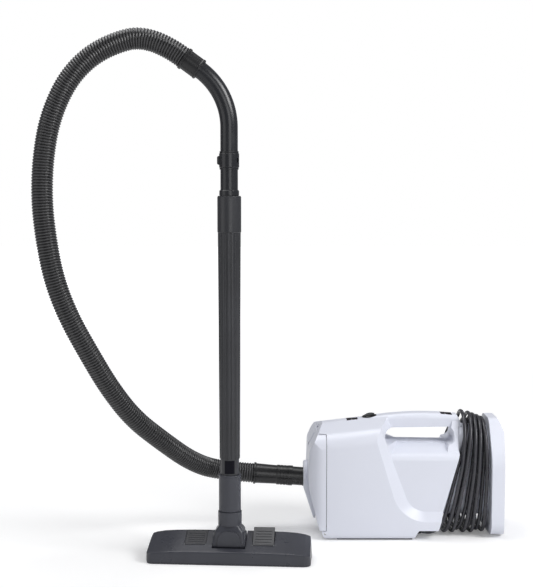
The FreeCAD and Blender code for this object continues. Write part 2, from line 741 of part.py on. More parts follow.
def motor_pieces():
    """Vacuum motor: fan case, impeller, can, stator, rotor, brushes and rubber mounts."""
    def at(x):
        return (x, 0.0, motor_z)
    axis = (1, 0, 0)
    pieces = {}
    case_x0, case_x1 = motor_x0, motor_x0 + fan_case_len
    case = rod(at(case_x0), axis, fan_case_r,
               fan_case_len).cut(rod(at(case_x0 + 2.0), axis, fan_case_r - 2.0, fan_case_len - 6.0))
    case = case.cut([rod(at(case_x0 - 1.0), axis, 18.0, 4.0), rod(at(case_x1 - 5.0), axis, 10.0, 6.0)])
    vents = [rod((case_x1 - 5.0, 50.0 * math.cos(turn), motor_z + 50.0 * math.sin(turn)), axis, 5.0, 6.0)
             for turn in [math.radians(20 + 40 * i) for i in range(9)]]
    pieces["fan_case"] = case.cut(vents)
    fan_x0 = case_x0 + 4.5
    discs = [rod(at(fan_x0), axis, fan_r, 1.4).cut(rod(at(fan_x0 - 1), axis, 16.0, 4.0)),
             rod(at(fan_x0 + fan_len - 1.6), axis, fan_r, 1.6)]
    blades = []
    for i in range(7):
        blade = box(fan_x0 + 0.7, fan_x0 + fan_len - 0.8, -0.7, 0.7, 17.0, fan_r - 1.0)
        blade.rotate(V(0, 0, 30.0), V(1, 0, 0), 35)
        blade.rotate(V(0, 0, 0), V(1, 0, 0), i * 360.0 / 7)
        blades.append(moved(blade, (0, 0, motor_z)))
    hub = rod(at(fan_x0 + 3.0), axis, 9.0, fan_len - 3.0)
    rim = rod(at(fan_x0 - 1.0), axis, fan_r, fan_len + 2.0)
    impeller = joined(discs + [hub] + [blade.common(rim) for blade in blades])
    pieces["fan_impeller"] = impeller.cut(rod(at(fan_x0 - 2), axis, shaft_d / 2, fan_len + 4))
    can_x0, can_x1 = case_x1, case_x1 + motor_len
    can = rod(at(can_x0), axis, motor_r,
              motor_len).cut(rod(at(can_x0 + 3.0), axis, motor_r - 1.8, motor_len - 6.0))
    bearing_hole = rod(at(can_x0 - 1), axis, shaft_d / 2 + 0.05, motor_len + 2)
    ports = [rod((can_x0 + 14.0 + step * 38.0, 0, motor_z), (0, math.cos(turn), math.sin(turn)), 6.0, 60.0)
             for step in (0, 1) for turn in [math.radians(30 + 60 * i) for i in range(6)]]
    pieces["motor_can"] = can.cut([bearing_hole] + ports)
    stator = ring(at(can_x0 + 18.0), axis, motor_r - 1.8 - 0.1, 23.0, 26.0)
    pieces["stator_core"] = stator
    shaft = rod(at(fan_x0 - 1.0), axis, shaft_d / 2, can_x1 - fan_x0 + 1.0)
    core = rod(at(can_x0 + 18.0), axis, 22.3, 26.0)
    slots = [box(can_x0 + 17.0, can_x0 + 45.0, -1.2, 1.2, 15.0, 24.0) for _ in range(10)]
    for i, slot in enumerate(slots):
        slot.rotate(V(0, 0, 0), V(1, 0, 0), i * 36.0)
    core = core.cut([moved(slot, (0, 0, motor_z)) for slot in slots])
    commutator = rod(at(can_x0 + 48.0), axis, 11.0, 12.0)
    pieces["rotor"] = joined([shaft, core, commutator])
    brushes = []
    for side in (-1, 1):
        brush = box(can_x0 + 50.0, can_x0 + 58.0, -4.0, 4.0, 11.3, motor_r - 2.0)
        brush.rotate(V(0, 0, 0), V(1, 0, 0), 90 * side)
        brushes.append(moved(brush, (0, 0, motor_z)))
    pieces["motor_brushes"] = Part.makeCompound(brushes)
    pieces["motor_mount_front"] = ring(at(bulkhead_x + 0.2), axis, fan_case_r - 3.0, 40.0,
                                       motor_x0 - bulkhead_x - 0.4)
    mount = ring(at(can_x0 + 53.0), axis, neck_half - wall - 0.2, motor_r + 0.1, 8.0)
    pieces["motor_mount_rear"] = mount
    return pieces


def plate_form(inset):
    """Rounded block of the rear plate, its walls moved in by inset."""
    half = plate_half - inset
    top_half = plate_top_half - inset * 0.6
    rear = plate_x0 + plate_depth - inset
    peak = rear + plate_dome
    block = slab([(-half, plate_z0 + inset, plate_round - inset),
                  (half, plate_z0 + inset, plate_round - inset),
                  (half, plate_shoulder_z, 60.0 - inset), (top_half, plate_z1 - inset, 24.0 - inset),
                  (-top_half, plate_z1 - inset, 24.0 - inset), (-half, plate_shoulder_z, 60.0 - inset)],
                 "yz", plate_x0 + inset, peak)
    side = slab([(plate_x0 - 1.0, plate_z0 - 1.0), (peak - 4.0, plate_z0 - 1.0),
                 (peak, plate_z0 + 40.0, 60.0), (peak - 2.0, plate_z1 - 30.0, 60.0),
                 (peak - 16.0, plate_z1 + 4.0), (plate_x0 - 1.0, plate_z1 + 4.0)], "xz", -100, 100)
    plan = slab([(plate_x0 - 1.0, -half - 1.0), (rear, -half - 1.0), (rear, -half), (peak, 0.0, 300.0),
                 (rear, half),
                 (rear, half + 1.0), (plate_x0 - 1.0, half + 1.0)], "xy", 0.0, 240.0)
    return block.common(side).common(plan)


def rear_plate():
    """Hollow rear plate that keeps the cord on the neck and lets the air out."""
    shell = plate_form(0.0).cut(plate_form(wall))
    posts = [rod((plate_x0, y, z), (1, 0, 0), 5.5, plate_depth + plate_dome).common(plate_form(0.0))
             for y, z in plate_screw_places()]
    shell = shell.fuse(posts)
    inset = wall + 1.2
    mouth = slab(oblong(-neck_half + inset, neck_half - inset, neck_z0 + inset, neck_z1 - inset,
                        neck_round - inset), "yz", plate_x0 - 1.0, plate_x0 + wall + 0.5)
    mouth = mouth.cut([rod((plate_x0 - 2.0, y, z), (1, 0, 0), 5.5, 20.0) for y, z in plate_screw_places()])
    slots = []
    for i in range(exhaust_slots):
        z = 114.0 + (i - (exhaust_slots - 1) / 2.0) * exhaust_slot_pitch
        slots.append(slab(oblong(-34.0, 34.0, z - exhaust_slot_width / 2, z + exhaust_slot_width / 2, 2.4),
                          "yz", plate_x0 + plate_depth - 6.0, plate_x0 + plate_depth + plate_dome + 2.0))
    bores = []
    for y, z in plate_screw_places():
        bores.append(rod((plate_x0 - 1.0, y, z), (1, 0, 0), screw_shank_d / 2 + 0.1,
                         plate_depth + plate_dome + 2.0))
        bores.append(rod((plate_x0 + 8.0, y, z), (1, 0, 0), screw_head_d / 2 + 0.3,
                         plate_depth + plate_dome))
    return shell.cut([mouth] + slots + bores)


def rear_plate_screws():
    """Four screws that hold the rear plate to the neck."""
    screws = []
    for y, z in plate_screw_places():
        shank = rod((plate_x0 - 12.0, y, z), (1, 0, 0), screw_shank_d / 2, 20.0)
        head = rod((plate_x0 + 8.0, y, z), (1, 0, 0), screw_head_d / 2, 2.6)
        screws.append(joined([shank, head]))
    return Part.makeCompound(screws)


def switch_pieces():
    """Round bezel in the top and the rocker in it, tilted to off."""
    start, facing = switch_axis()
    barrel_r = switch_d / 2 - 0.5
    flange_r = switch_d / 2 + switch_flange
    mouth_r = switch_d / 2 - 0.9
    base_r = switch_d / 2 - 2.0
    profile = [(-14.0, base_r), (-14.0, barrel_r), (0.5, barrel_r), (0.5, flange_r), (1.2, flange_r),
               (2.2, switch_d / 2 + 0.4), (2.2, mouth_r), (-8.0, mouth_r), (-8.0, 2.0), (-10.0, 2.0),
               (-10.0, base_r)]
    bezel = turned(profile, start, facing)
    radius = switch_d / 2 - 1.9
    paddle = slab([(-radius - 1, -4.0), (radius + 1, -4.0), (radius + 1, 3.4), (0.0, 5.4, 30.0),
                   (-radius - 1, 3.4)],
                  "xz", -20, 20)
    paddle = paddle.common(rod((0, 0, -6.0), (0, 0, 1), radius, 16.0))
    paddle.rotate(V(0, 0, 0), V(0, 1, 0), -8.0 - math.degrees(math.atan(top_slope)))
    paddle.translate(V(*start))
    return {"switch_bezel": bezel, "rocker_button": paddle}


def strap_bars():
    """Steel bars across the two strap pockets."""
    pieces = {}
    for name, (x, z_top, _) in zip(("strap_bar_front", "strap_bar_rear"), pocket_spec()):
        length = 2 * (strap_pocket_half + 2.0)
        pieces[name] = rod((x, -length / 2, z_top - 5.0), (0, 1, 0), strap_bar_d / 2, length)
    return pieces


def cord_grommet():
    """Rubber strain relief where the mains cord leaves the belly step."""
    profile = [(0.0, cord_d / 2), (0.0, grommet_d / 2), (16.0, grommet_d / 2), (24.0, cord_d / 2 + 0.9),
               (24.0, cord_d / 2)]
    return turned(profile, (belly_end_x - 8.0, cord_exit_y, cord_exit_z), (1, 0, 0))


def winding_point(turn):
    """Point of the cord's winding after a number of turns from the near side's middle."""
    share = turn / winding_turns
    inward = min(max((turn - winding_turns + 0.25) / 0.5, 0.0), 1.0)
    across = share if share <= 1.0 else 2.0 - share
    half_wide = winding_inner[0] + (winding_outer[0] - winding_inner[0]) * inward
    half_high = winding_inner[1] + (winding_outer[1] - winding_inner[1]) * inward
    angle = 2.0 * math.pi * turn
    side, up = squarish(angle, winding_low_square if math.sin(angle) < 0.0 else 2.0)
    upness = (1.0 + up) / 2.0
    x_top = winding_top_x[0] + (winding_top_x[1] - winding_top_x[0]) * across
    x_low = winding_low_x[0] + (winding_low_x[1] - winding_low_x[0]) * across
    loose = 0.9 * math.sin(2.1 * turn) * (1.0 - upness)
    return V(x_low + (x_top - x_low) * upness + loose, -half_wide * side, winding_mid_z + half_high * up)


def squarish(angle, power):
    """Cosine and sine of an angle, bent towards a square by a power above 2."""
    def bent(value):
        return math.copysign(abs(value) ** (2.0 / power), value)
    return bent(math.cos(angle)), bent(math.sin(angle))


def winding_route():
    """Points and tangents of the winding from the lead to the plug, with more in its lower corners."""
    last = 2.0 * winding_turns
    turns = []
    for i in range(int(round(last * 4))):
        turns.append(0.25 * i)
        if i % 4 in (2, 3) and 0.25 * (i + 1) < last:
            turns.append(0.25 * i + 0.125)
    points = [winding_point(turn) for turn in turns]
    tangents = []
    for turn in turns:
        step = 0.02 if turn * 4.0 == int(turn * 4.0) else 0.01
        direction = winding_point(turn + step) - winding_point(turn - step)
        direction.normalize()
        tangents.append(direction)
    end = winding_point(last)
    points.append(V(end.x, plug_y, plug_top_z + cord_d))
    tangents.append(V(0, 0, -1))
    return points, tangents


def biarc(p0, t0, p1, t1):
    """Two tangent arcs from p0 to p1, each as (start, middle, end)."""
    chord = p1 - p0
    total = t0 + t1
    spread = 2.0 * (1.0 - t0.dot(t1))
    along_total = chord.dot(total)
    if spread < 1e-9:
        reach = chord.dot(chord) / (4.0 * chord.dot(t1))
    else:
        reach = (-along_total + math.sqrt(along_total ** 2 + spread * chord.dot(chord))) / spread
    q0 = p0 + t0 * reach
    q1 = p1 - t1 * reach
    joint = (q0 + q1) * 0.5
    return [(p0, arc_middle(p0, q0, joint), joint), (joint, arc_middle(joint, q1, p1), p1)]


def arc_middle(a, corner, b):
    """Middle of the arc from a to b whose end tangents meet at corner."""
    mid = (a + b) * 0.5
    rise = corner - mid
    half_chord = (b - a).Length / 2.0
    half_turn = math.atan2(rise.Length, half_chord)
    rise.normalize()
    return mid + rise * (half_chord * math.tan(half_turn / 2.0))


def winding_wire():
    """Tangent arcs through the winding's points, with a straight end into the plug."""
    points, tangents = winding_route()
    edges = []
    first = points[0] - tangents[0] * cord_d
    edges.append(Part.LineSegment(first, points[0]).toShape())
    for i in range(len(points) - 1):
        for start, middle, end in biarc(points[i], tangents[i], points[i + 1], tangents[i + 1]):
            edges.append(Part.Arc(start, middle, end).toShape())
    last = points[-1] + tangents[-1] * cord_d
    edges.append(Part.LineSegment(points[-1], last).toShape())
    return Part.Wire(edges), first, tangents[0]


def piped(wire, start, direction, radius):
    """Round solid tube swept along a wire of lines and arcs."""
    profile = Part.Wire(Part.Circle(V(*start), V(*direction), radius).toShape())
    return wire.makePipeShell([profile], True, False)


def self_gap(wire, diameter, step):
    """Least gap between stretches of a tube that aren't neighbours."""
    points = wire.discretize(Distance=step)
    cells = {}
    size = diameter * 2.0
    least = 1e9
    skip = int(3.0 * diameter / step)
    for i, point in enumerate(points):
        key = (int(point.x // size), int(point.y // size), int(point.z // size))
        for dx in (-1, 0, 1):
            for dy in (-1, 0, 1):
                for dz in (-1, 0, 1):
                    for j in cells.get((key[0] + dx, key[1] + dy, key[2] + dz), ()):
                        if i - j > skip:
                            least = min(least, (point - points[j]).Length)
        cells.setdefault(key, []).append(i)
    return least - diameter


def power_cord_winding():
    """Mains cord wound round the neck, with the measurements of its route printed."""
    wire, start, direction = winding_wire()
    print("winding: length", round(wire.Length), "mm, least gap to itself",
          round(self_gap(wire, cord_d, 1.5), 2), "mm")
    tube = piped(wire, start, direction, cord_d / 2)
    print("winding: volume over section times length",
          round(tube.Volume / (wire.Length * math.pi * cord_d ** 2 / 4), 4))
    return tube


def rounded_route(points, name):
    """Wire of straight runs joined by tangent arcs through the inside of each corner."""
    edges, radii = [], []
    cursor = points[0]
    for before, here, after in zip(points, points[1:], points[2:]):
        back = before - here
        ahead = after - here
        shorter = min(back.Length, ahead.Length)
        back.normalize()
        ahead.normalize()
        reach = 0.45 * shorter
        half = back.getAngle(ahead) / 2.0
        radii.append(reach * math.tan(half))
        entry = here + back * reach
        leave = here + ahead * reach
        bisector = back + ahead
        bisector.normalize()
        middle = here + bisector * (radii[-1] / math.sin(half) - radii[-1])
        edges.append(Part.LineSegment(cursor, entry).toShape())
        edges.append(Part.Arc(entry, middle, leave).toShape())
        cursor = leave
    edges.append(Part.LineSegment(cursor, points[-1]).toShape())
    wire = Part.Wire(edges)
    print(name + ": length", round(wire.Length), "mm, radii", [round(radius) for radius in radii])
    return wire


def power_cord_lead():
    """Short free stretch of the mains cord from the strain relief to the winding."""
    _, join, heading = winding_wire()
    start = V(belly_end_x + 16.0, cord_exit_y, cord_exit_z)
    points = [start, V(107.5, -58.4, 6.9), V(127.5, -59.0, 17.5), V(136.5, -59.6, 41.0),
              join - heading * 28.0, join]
    wire = rounded_route(points, "cord lead")
    tube = piped(wire, start, points[1] - points[0], cord_d / 2)
    print("cord lead: volume over section times length",
          round(tube.Volume / (wire.Length * math.pi * cord_d ** 2 / 4), 4))
    return tube


def power_plug():
    """Moulded two-pin plug hanging beside the winding, cord end up."""
    x = winding_route()[0][-1].x
    boot = turned([(0.0, 0.0), (0.0, 9.5), (16.0, 6.5), (24.0, 4.6), (24.0, 0.0)],
                  (x, plug_y, plug_top_z - 24.0), (0, 0, 1))
    grip = slab(oblong(x - 11.0, x + 11.0, plug_y - 9.0, plug_y + 9.0, 5.0), "xy", plug_top_z - 50.0,
                plug_top_z - 24.0)
    face = slab(oblong(x - 13.0, x + 13.0, plug_y - 10.5, plug_y + 10.5, 6.0), "xy", plug_top_z - 56.0,
                plug_top_z - 50.0)
    body = joined([boot, grip, face])
    return body.cut([blade for blade in plug_blade_blocks(4.0)])


def plug_blade_blocks(sunk):
    """The two flat blades, sunk into the plug's face."""
    x = winding_route()[0][-1].x
    return [box(x + side * 6.35 - 0.75, x + side * 6.35 + 0.75, plug_y - 3.2, plug_y + 3.2,
                plug_top_z - 73.5, plug_top_z - 56.0 + sunk) for side in (-1, 1)]


def rubber_feet():
    """Two long rubber strips let into the belly."""
    strips = []
    for side in (-1, 1):
        strip = foot_block(side, 0.0, base_z + foot_recess)
        edges = [edge for edge in strip.Edges if abs(edge.BoundBox.ZLength) > 1.0]
        strips.append(strip.makeFillet(2.0, edges))
    return Part.makeCompound(strips)


def cover_seal():
    """Rubber ring in the front opening that the cover closes on."""
    half = chamber_half - wall - 0.5
    low, high = lip_z + 5.5, nose_z - 5.0
    top_round = chamber_edge_round - 2.0
    outer = slab([(-half, low, 6.0), (half, low, 6.0), (half, high, top_round), (-half, high, top_round)],
                 "yz", seam_x - 3.5, seam_x + 1.5)
    inner = slab([(-half + 4.0, low + 4.0, 4.0), (half - 4.0, low + 4.0, 4.0),
                  (half - 4.0, high - 4.0, top_round - 4.0), (-half + 4.0, high - 4.0, top_round - 4.0)],
                 "yz", seam_x - 5.0, seam_x + 3.0)
    return outer.cut(inner)


def hose_start():
    """Where the hose leaves its machine cuff in the common frame, and its direction."""
    start, facing = inlet_frame()
    end = along(start, facing, cuff_face)
    return V(end[0] + machine_x, end[1] + machine_y, end[2]), V(*facing)


def tube_axis():
    """Direction of the bent tube's upper end, from the hose towards the bend."""
    axis = V(wand_x - tube_end_x, 0, tube_corner_z - tube_end_z)
    axis.normalize()
    return axis


def hose_points():
    """The hose's route in the common frame, from the machine to the handle."""
    start, facing = hose_start()
    end = V(tube_end_x, wand_y, tube_end_z)
    return [start, start + facing * 69.0, V(-258, 42, 134), V(-308, -8, 187), V(-355, -42, 235),
            V(-392, -68, 295), V(-421, -88, 358), V(-450, -102, 424), V(-472, -111, 490),
            V(-491, -116, 561), V(-502, -119, 630), V(-498, -119, 705), V(-484, -118, 774),
            V(-450, -117.5, 842), V(-395, -117.5, 888), end - tube_axis() * 70.0, end]


def hose_circle(point, direction, radius):
    """Circle round the hose's line whose X axis stays near the common Y axis."""
    side = V(0, 1, 0) - direction * direction.y
    side.normalize()
    placed = Part.Circle(V(0, 0, 0), V(0, 0, 1), radius).toShape()
    turn = FreeCAD.Rotation(side, direction.cross(side), direction, "ZXY")
    placed.Placement = FreeCAD.Placement(point, turn)
    return Part.Wire(placed)


def hose():
    """Ribbed hose with its bore."""
    wire = rounded_route(hose_points(), "hose")
    length = wire.Length
    pitch = length / hose_ribs
    path = wire.discretize(Number=4 * hose_ribs * 4 + 1)
    crest, valley = hose_d / 2.0, hose_d / 2.0 - hose_rib_depth
    circles = []
    step = length / (len(path) - 1)
    marks = [(0.0, valley), (0.3, valley), (0.5, crest), (0.8, crest)]
    for rib in range(hose_ribs):
        for share, radius in marks:
            circles.append(((rib + share) * pitch, radius))
    circles.append((length, valley))
    wires = []
    for distance, radius in circles:
        index = min(int(round(distance / step)), len(path) - 1)
        before, after = path[max(index - 1, 0)], path[min(index + 1, len(path) - 1)]
        direction = after - before
        direction.normalize()
        wires.append(hose_circle(path[index], direction, radius))
    tube = Part.makeLoft(wires, True, True)
    bore = piped(wire, hose_points()[0], hose_start()[1], hose_bore / 2)
    return tube.cut(bore)


def hose_cuff_handle():
    """Cuff on the hose's upper end, turning on the bent tube."""
    bore = tube_d / 2 + running_gap
    profile = [(0.0, 13.6), (0.0, 19.0), (0.6, 20.0), (4.4, 20.0), (5.4, cuff_d / 2), (30.0, cuff_d / 2),
               (30.8, 18.7), (33.2, 18.7), (34.0, 18.0), (34.0, bore), (3.6, bore), (3.6, 13.6)]
    return turned(profile, (tube_end_x, wand_y, tube_end_z), tuple(tube_axis()))


def bent_tube():
    """Handle tube: straight below, one bend, and a straight end in the hose cuff."""
    axis = tube_axis()
    corner = V(wand_x, wand_y, tube_corner_z)
    reach = 61.0
    up = V(0, 0, 1)
    foot = V(wand_x, wand_y, tube_foot_z)
    entry = corner - up * reach
    leave = corner - axis * reach
    top = V(tube_end_x, wand_y, tube_end_z) + axis * 4.0
    middle = arc_middle(entry, corner, leave)
    path = Part.Wire([Part.LineSegment(foot, entry).toShape(), Part.Arc(entry, middle, leave).toShape(),
                      Part.LineSegment(leave, top).toShape()])
    body = piped(path, foot, up, tube_d / 2)
    spigot = rod((wand_x, wand_y, tube_foot_z), (0, 0, 1), spigot_d / 2, wand_top_z - tube_foot_z + 0.4)
    collar = tube_d / 2 + 2.0
    shoulder = turned([(0.4, 0.0), (0.4, collar), (8.6, collar), (10.0, collar - 1.4), (10.0, 0.0)],
                      (wand_x, wand_y, wand_top_z), (0, 0, 1))
    beads = [rod((wand_x, wand_y, z), (0, 0, 1), tube_d / 2 + 1.4, 2.6) for z in
             (bleed_z0 - 3.0, bleed_z1 + 0.4)]
    solid = joined([body, spigot, shoulder] + beads)
    window = rod((wand_x, wand_y, (bleed_z0 + bleed_z1) / 2), (0, -1, 0), 4.0, 30.0)
    return solid.cut([piped(path, foot, up, tube_bore / 2), window])


def bleed_ring():
    """Suction relief ring with its window and finger knob."""
    low = bleed_z0
    body = turned([(0.0, 10.0), (0.0, bleed_d / 2 - 1.0), (1.0, bleed_d / 2), (24.0, bleed_d / 2),
                   (25.0, bleed_d / 2 - 1.0), (25.0, 10.0)], (wand_x, wand_y, low), (0, 0, 1))
    knob = slab([(wand_x - bleed_d / 2 - 3.4, low + 5.0, 3.0), (wand_x, low + 5.0), (wand_x, low + 20.0),
                 (wand_x - bleed_d / 2 - 3.4, low + 20.0, 3.0)], "xz", wand_y - 4.5, wand_y + 4.5)
    bore = rod((wand_x, wand_y, low - 1.0), (0, 0, 1), tube_d / 2 + running_gap, 30.0)
    window = slab(oblong(wand_x - 4.0, wand_x + 4.0, low + 8.0, low + 17.0, 3.9), "xz", wand_y - 30.0,
                  wand_y)
    window.rotate(V(wand_x, wand_y, 0), V(0, 0, 1), bleed_open)
    return joined([body, knob]).cut([bore, window])


def fluted_outline(diameter, z):
    """Closed wire of alternate crests and shallow valleys round the wand."""
    radius = diameter / 2.0
    def at(angle, distance):
        return V(wand_x + distance * math.cos(angle), wand_y + distance * math.sin(angle), z)
    edges = []
    pitch = 2.0 * math.pi / wand_flutes
    for i in range(wand_flutes):
        a0 = i * pitch
        a1 = a0 + 0.62 * pitch
        a2 = a0 + pitch
        edges.append(Part.Arc(at(a0, radius - 0.35), at((a0 + a1) / 2, radius),
                              at(a1, radius - 0.35)).toShape())
        low = radius - wand_flute_deep
        edges.append(Part.Arc(at(a1, radius - 0.35), at((a1 + a2) / 2, low),
                              at(a2, radius - 0.35)).toShape())
    return Part.Wire(edges)


def wand():
    """Straight suction wand: plain sleeve, fluted taper and plain lower end."""
    flutes = Part.makeLoft([fluted_outline(wand_flute_low_d, wand_flute_low_z),
                            fluted_outline(wand_flute_top_d, wand_sleeve_z)], True, True)
    radius = wand_sleeve_d / 2
    sleeve = turned([(0.0, 0.0), (0.0, radius - 0.9), (1.0, radius), (61.0, radius),
                     (63.0, radius - 1.2), (63.0, 0.0)], (wand_x, wand_y, wand_sleeve_z), (0, 0, 1))
    lower = turned([(0.0, 0.0), (0.0, wand_end_d / 2 - 0.8), (1.2, wand_end_d / 2),
                    (wand_flute_low_z - wand_end_z, wand_end_d / 2), (wand_flute_low_z - wand_end_z, 0.0)],
                   (wand_x, wand_y, wand_end_z), (0, 0, 1))
    flat = box(wand_x - 8.6, wand_x + 8.6, wand_y - 20.0, wand_y - wand_end_d / 2 + 1.1,
               neck_top_z + 3.0, wand_flute_low_z - 2.0)
    cone = turned([(-1.0, wand_bore / 2), (8.0, 0.0), (-1.0, 0.0)], (wand_x, wand_y, wand_end_z), (0, 0, 1))
    socket = rod((wand_x, wand_y, tube_foot_z - seat_gap), (0, 0, 1), spigot_d / 2 + running_gap, 60.0)
    bore = rod((wand_x, wand_y, wand_end_z - 1.0), (0, 0, 1), wand_bore / 2, 600.0)
    return joined([flutes, sleeve, lower]).cut([flat, socket, bore, cone])


def neck_tube():
    """Socket tube of the floor tool that the wand's end pushes into."""
    height = neck_top_z - neck_low_z
    body = turned([(-22.0, 0.0), (-22.0, 16.2), (-21.2, 17.0), (0.4, 17.0), (0.4, neck_d / 2 - 0.6),
                   (1.2, neck_d / 2), (height - 3.4, neck_d / 2), (height - 3.0, neck_d / 2 + 0.6),
                   (height - 0.8, neck_d / 2 + 0.6), (height, neck_d / 2 - 0.2), (height, 0.0)],
                  (wand_x, wand_y, neck_low_z), (0, 0, 1))
    socket = rod((wand_x, wand_y, wand_end_z - seat_gap - 1.7), (0, 0, 1), wand_end_d / 2 + running_gap,
                 60.0)
    bore = rod((wand_x, wand_y, neck_low_z - 30.0), (0, 0, 1), 14.0, 60.0)
    return body.cut([socket, bore])


def tool_placed(shape):
    """Move a floor tool piece from its own frame to under the wand, turned by its yaw."""
    placed = shape.copy()
    placed.rotate(V(0, 0, 0), V(0, 0, 1), tool_yaw)
    placed.translate(V(wand_x, wand_y, 0))
    return placed


def elbow():
    """Swivel collar on a tilting drum."""
    base = 62.0
    high = neck_low_z - base
    collar = turned([(0.0, 0.0), (0.0, swivel_d / 2), (high - 0.9, swivel_d / 2),
                     (high, swivel_d / 2 - 0.8), (high, 0.0)], (0, 0, base), (0, 0, 1))
    drum = rod((-tilt_half, 0, tilt_z), (1, 0, 0), tilt_r, 2 * tilt_half)
    levels = [(tilt_z, tilt_half, tilt_r), (52.0, tilt_half - 3.0, tilt_r - 1.0), (63.0, 17.0, 17.0)]
    rings = [outline(oblong(-half, half, -deep, deep, 5.0), "xy").OuterWire
             for _, half, deep in levels]
    for wire, (z, _, _) in zip(rings, levels):
        wire.translate(V(0, 0, z))
    web = Part.makeLoft(rings, True, True)
    arch = slab([(-tilt_half + 7.0, tilt_z - 2.0), (tilt_half - 7.0, tilt_z - 2.0),
                 (tilt_half - 11.0, 54.0, 16.0),
                 (-tilt_half + 11.0, 54.0, 16.0)], "xz", -tilt_r - arch_proud, 0.0)
    body = joined([drum, web, arch, collar])
    socket = rod((0, 0, 63.5), (0, 0, 1), 17.0 + running_gap, 30.0)
    throat = rod((0, 0, tilt_z - throat_sink), (0, 0, 1), elbow_bore / 2, 60.0)
    mouth = airway(40.0)
    holes = [rod((side * (tilt_half - 7.0), 0, tilt_z), (side, 0, 0), trunnion_d / 2 + running_gap, 20.0)
             for side in (-1, 1)]
    return body.cut([socket, throat, mouth] + holes)


def airway(length):
    """Round passage from the drum's middle, forward and down to the suction mouth."""
    return rod((0, 0, tilt_z), (0, -math.cos(airway_dip), -math.sin(airway_dip)), airway_r, length)


def elbow_pins():
    """Two pins that carry the elbow's drum in the nozzle's cheeks."""
    return Part.makeCompound([rod((side * (tilt_half - 6.5), 0, tilt_z), (side, 0, 0), trunnion_d / 2, 17.5)
                              for side in (-1, 1)])


def nozzle_section(u, top, lip, inset):
    """Side outline of the nozzle at a place along it."""
    low = sole_t if inset == 0 else 0.0
    round_top = max(9.0 - inset, 3.0)
    corners = [(nozzle_front + inset, low), (nozzle_front + 1.0 + inset, lip + 0.5 - inset * 0.7, 3.0),
               (25.0, top - inset * 1.06, round_top), (40.5 - inset, top - 8.5 - inset * 0.6, 4.0),
               (nozzle_rear - inset, low)]
    face = outline(corners, "yz")
    face.translate(V(u, 0, 0))
    return face.OuterWire


def nozzle_form(inset):
    """The nozzle's crowned block, its walls moved in by inset."""
    end = nozzle_half - inset
    half_crown = [(end * share, nozzle_top_z + rise, nozzle_lip_z - sink) for share, rise,
                  sink in crown_line]
    crown = [(-u, top, lip) for u, top, lip in reversed(half_crown[1:])] + half_crown
    body = Part.makeLoft([nozzle_section(u, top, lip, inset) for u, top, lip in crown], True, True)
    plan = slab([(-end, nozzle_front + inset, 14.0 - inset), (end, nozzle_front + inset, 14.0 - inset),
                 (end, nozzle_rear - inset, 24.0 - inset), (-end, nozzle_rear - inset, 24.0 - inset)],
                "xy", -1.0, 60.0)
    high = nozzle_top_z - 3.0 - inset
    ends = slab([(-end, -1.0), (end, -1.0), (end - 3.0, high, 12.0), (0.0, high + 8.0),
                 (-end + 3.0, high, 12.0)],
                "xz", -80.0, 80.0)
    return body.common(plan).common(ends)


def pedal_pocket(side, grow):
    """Block of one pedal's well in the nozzle's top, grown by its wall."""
    u0, u1 = (pedal_in, pedal_out) if side > 0 else (-pedal_out, -pedal_in)
    gap = 0.6 + grow
    return box(u0 - gap, u1 + gap, pedal_front - gap, pedal_rear + gap, 23.6 - grow, 60.0)


def nozzle_shell():
    """Upper housing of the floor tool with its elbow cut-out and pedal wells."""
    outer = nozzle_form(0.0)
    shell = outer.cut(nozzle_form(nozzle_wall))
    cheeks = box(-cutout_half - nozzle_wall, cutout_half + nozzle_wall, cutout_front - nozzle_wall, 60.0,
                 sole_t, 60.0).common(outer)
    bosses = [rod((side * cutout_half, 0, tilt_z), (side, 0, 0), 6.0, 8.0) for side in (-1, 1)]
    wells = [pedal_pocket(side, 1.6).common(outer) for side in (-1, 1)]
    posts = [rod((u, v, sole_t), (0, 0, 1), 4.0, 60.0).common(outer) for u, v in sole_screw_places()]
    wheel_boxes = [box(side * wheel_u - 8.8, side * wheel_u + 8.8, wheel_v - 11.0, wheel_v + 11.0, sole_t,
                       19.6)
                   .common(outer) for side in (-1, 1)]
    shell = shell.fuse([cheeks] + bosses + wells + posts + wheel_boxes)
    cuts = [box(-cutout_half, cutout_half, cutout_front, 80.0, cutout_floor, 80.0),
            airway(34.0),
            rod((-45.0, 0, tilt_z), (1, 0, 0), trunnion_d / 2, 90.0),
            box(-brush_half - 1.0, brush_half + 1.0, brush_v - 3.2, brush_v + 3.2, 0.0, 20.0)]
    cuts += [pedal_pocket(side, 0.0) for side in (-1, 1)]
    cuts += [rod((side * (pedal_in + pedal_out) / 2 - 24.0, pedal_pin_v, pedal_pin_z), (1, 0, 0),
                 pedal_pin_d / 2, 48.0) for side in (-1, 1)]
    cuts += [rod((u, v, sole_t - 1.0), (0, 0, 1), screw_shank_d / 2, 10.0) for u, v in sole_screw_places()]
    cuts += [box(side * wheel_u - 5.5, side * wheel_u + 5.5, wheel_v - 9.0, wheel_v + 9.0, 0.0, 17.6)
             for side in (-1, 1)]
    cuts += [rod((side * wheel_u - 9.0, wheel_v, wheel_r), (1, 0, 0), 1.5, 18.0) for side in (-1, 1)]
    return shell.cut(cuts)


def sole_screw_places():
    """Places of the screws that hold the sole plate."""
    return [(side * u, v) for side in (-1, 1) for u, v in ((130.0, 20.0), (88.0, 8.0), (45.0, 31.0))]


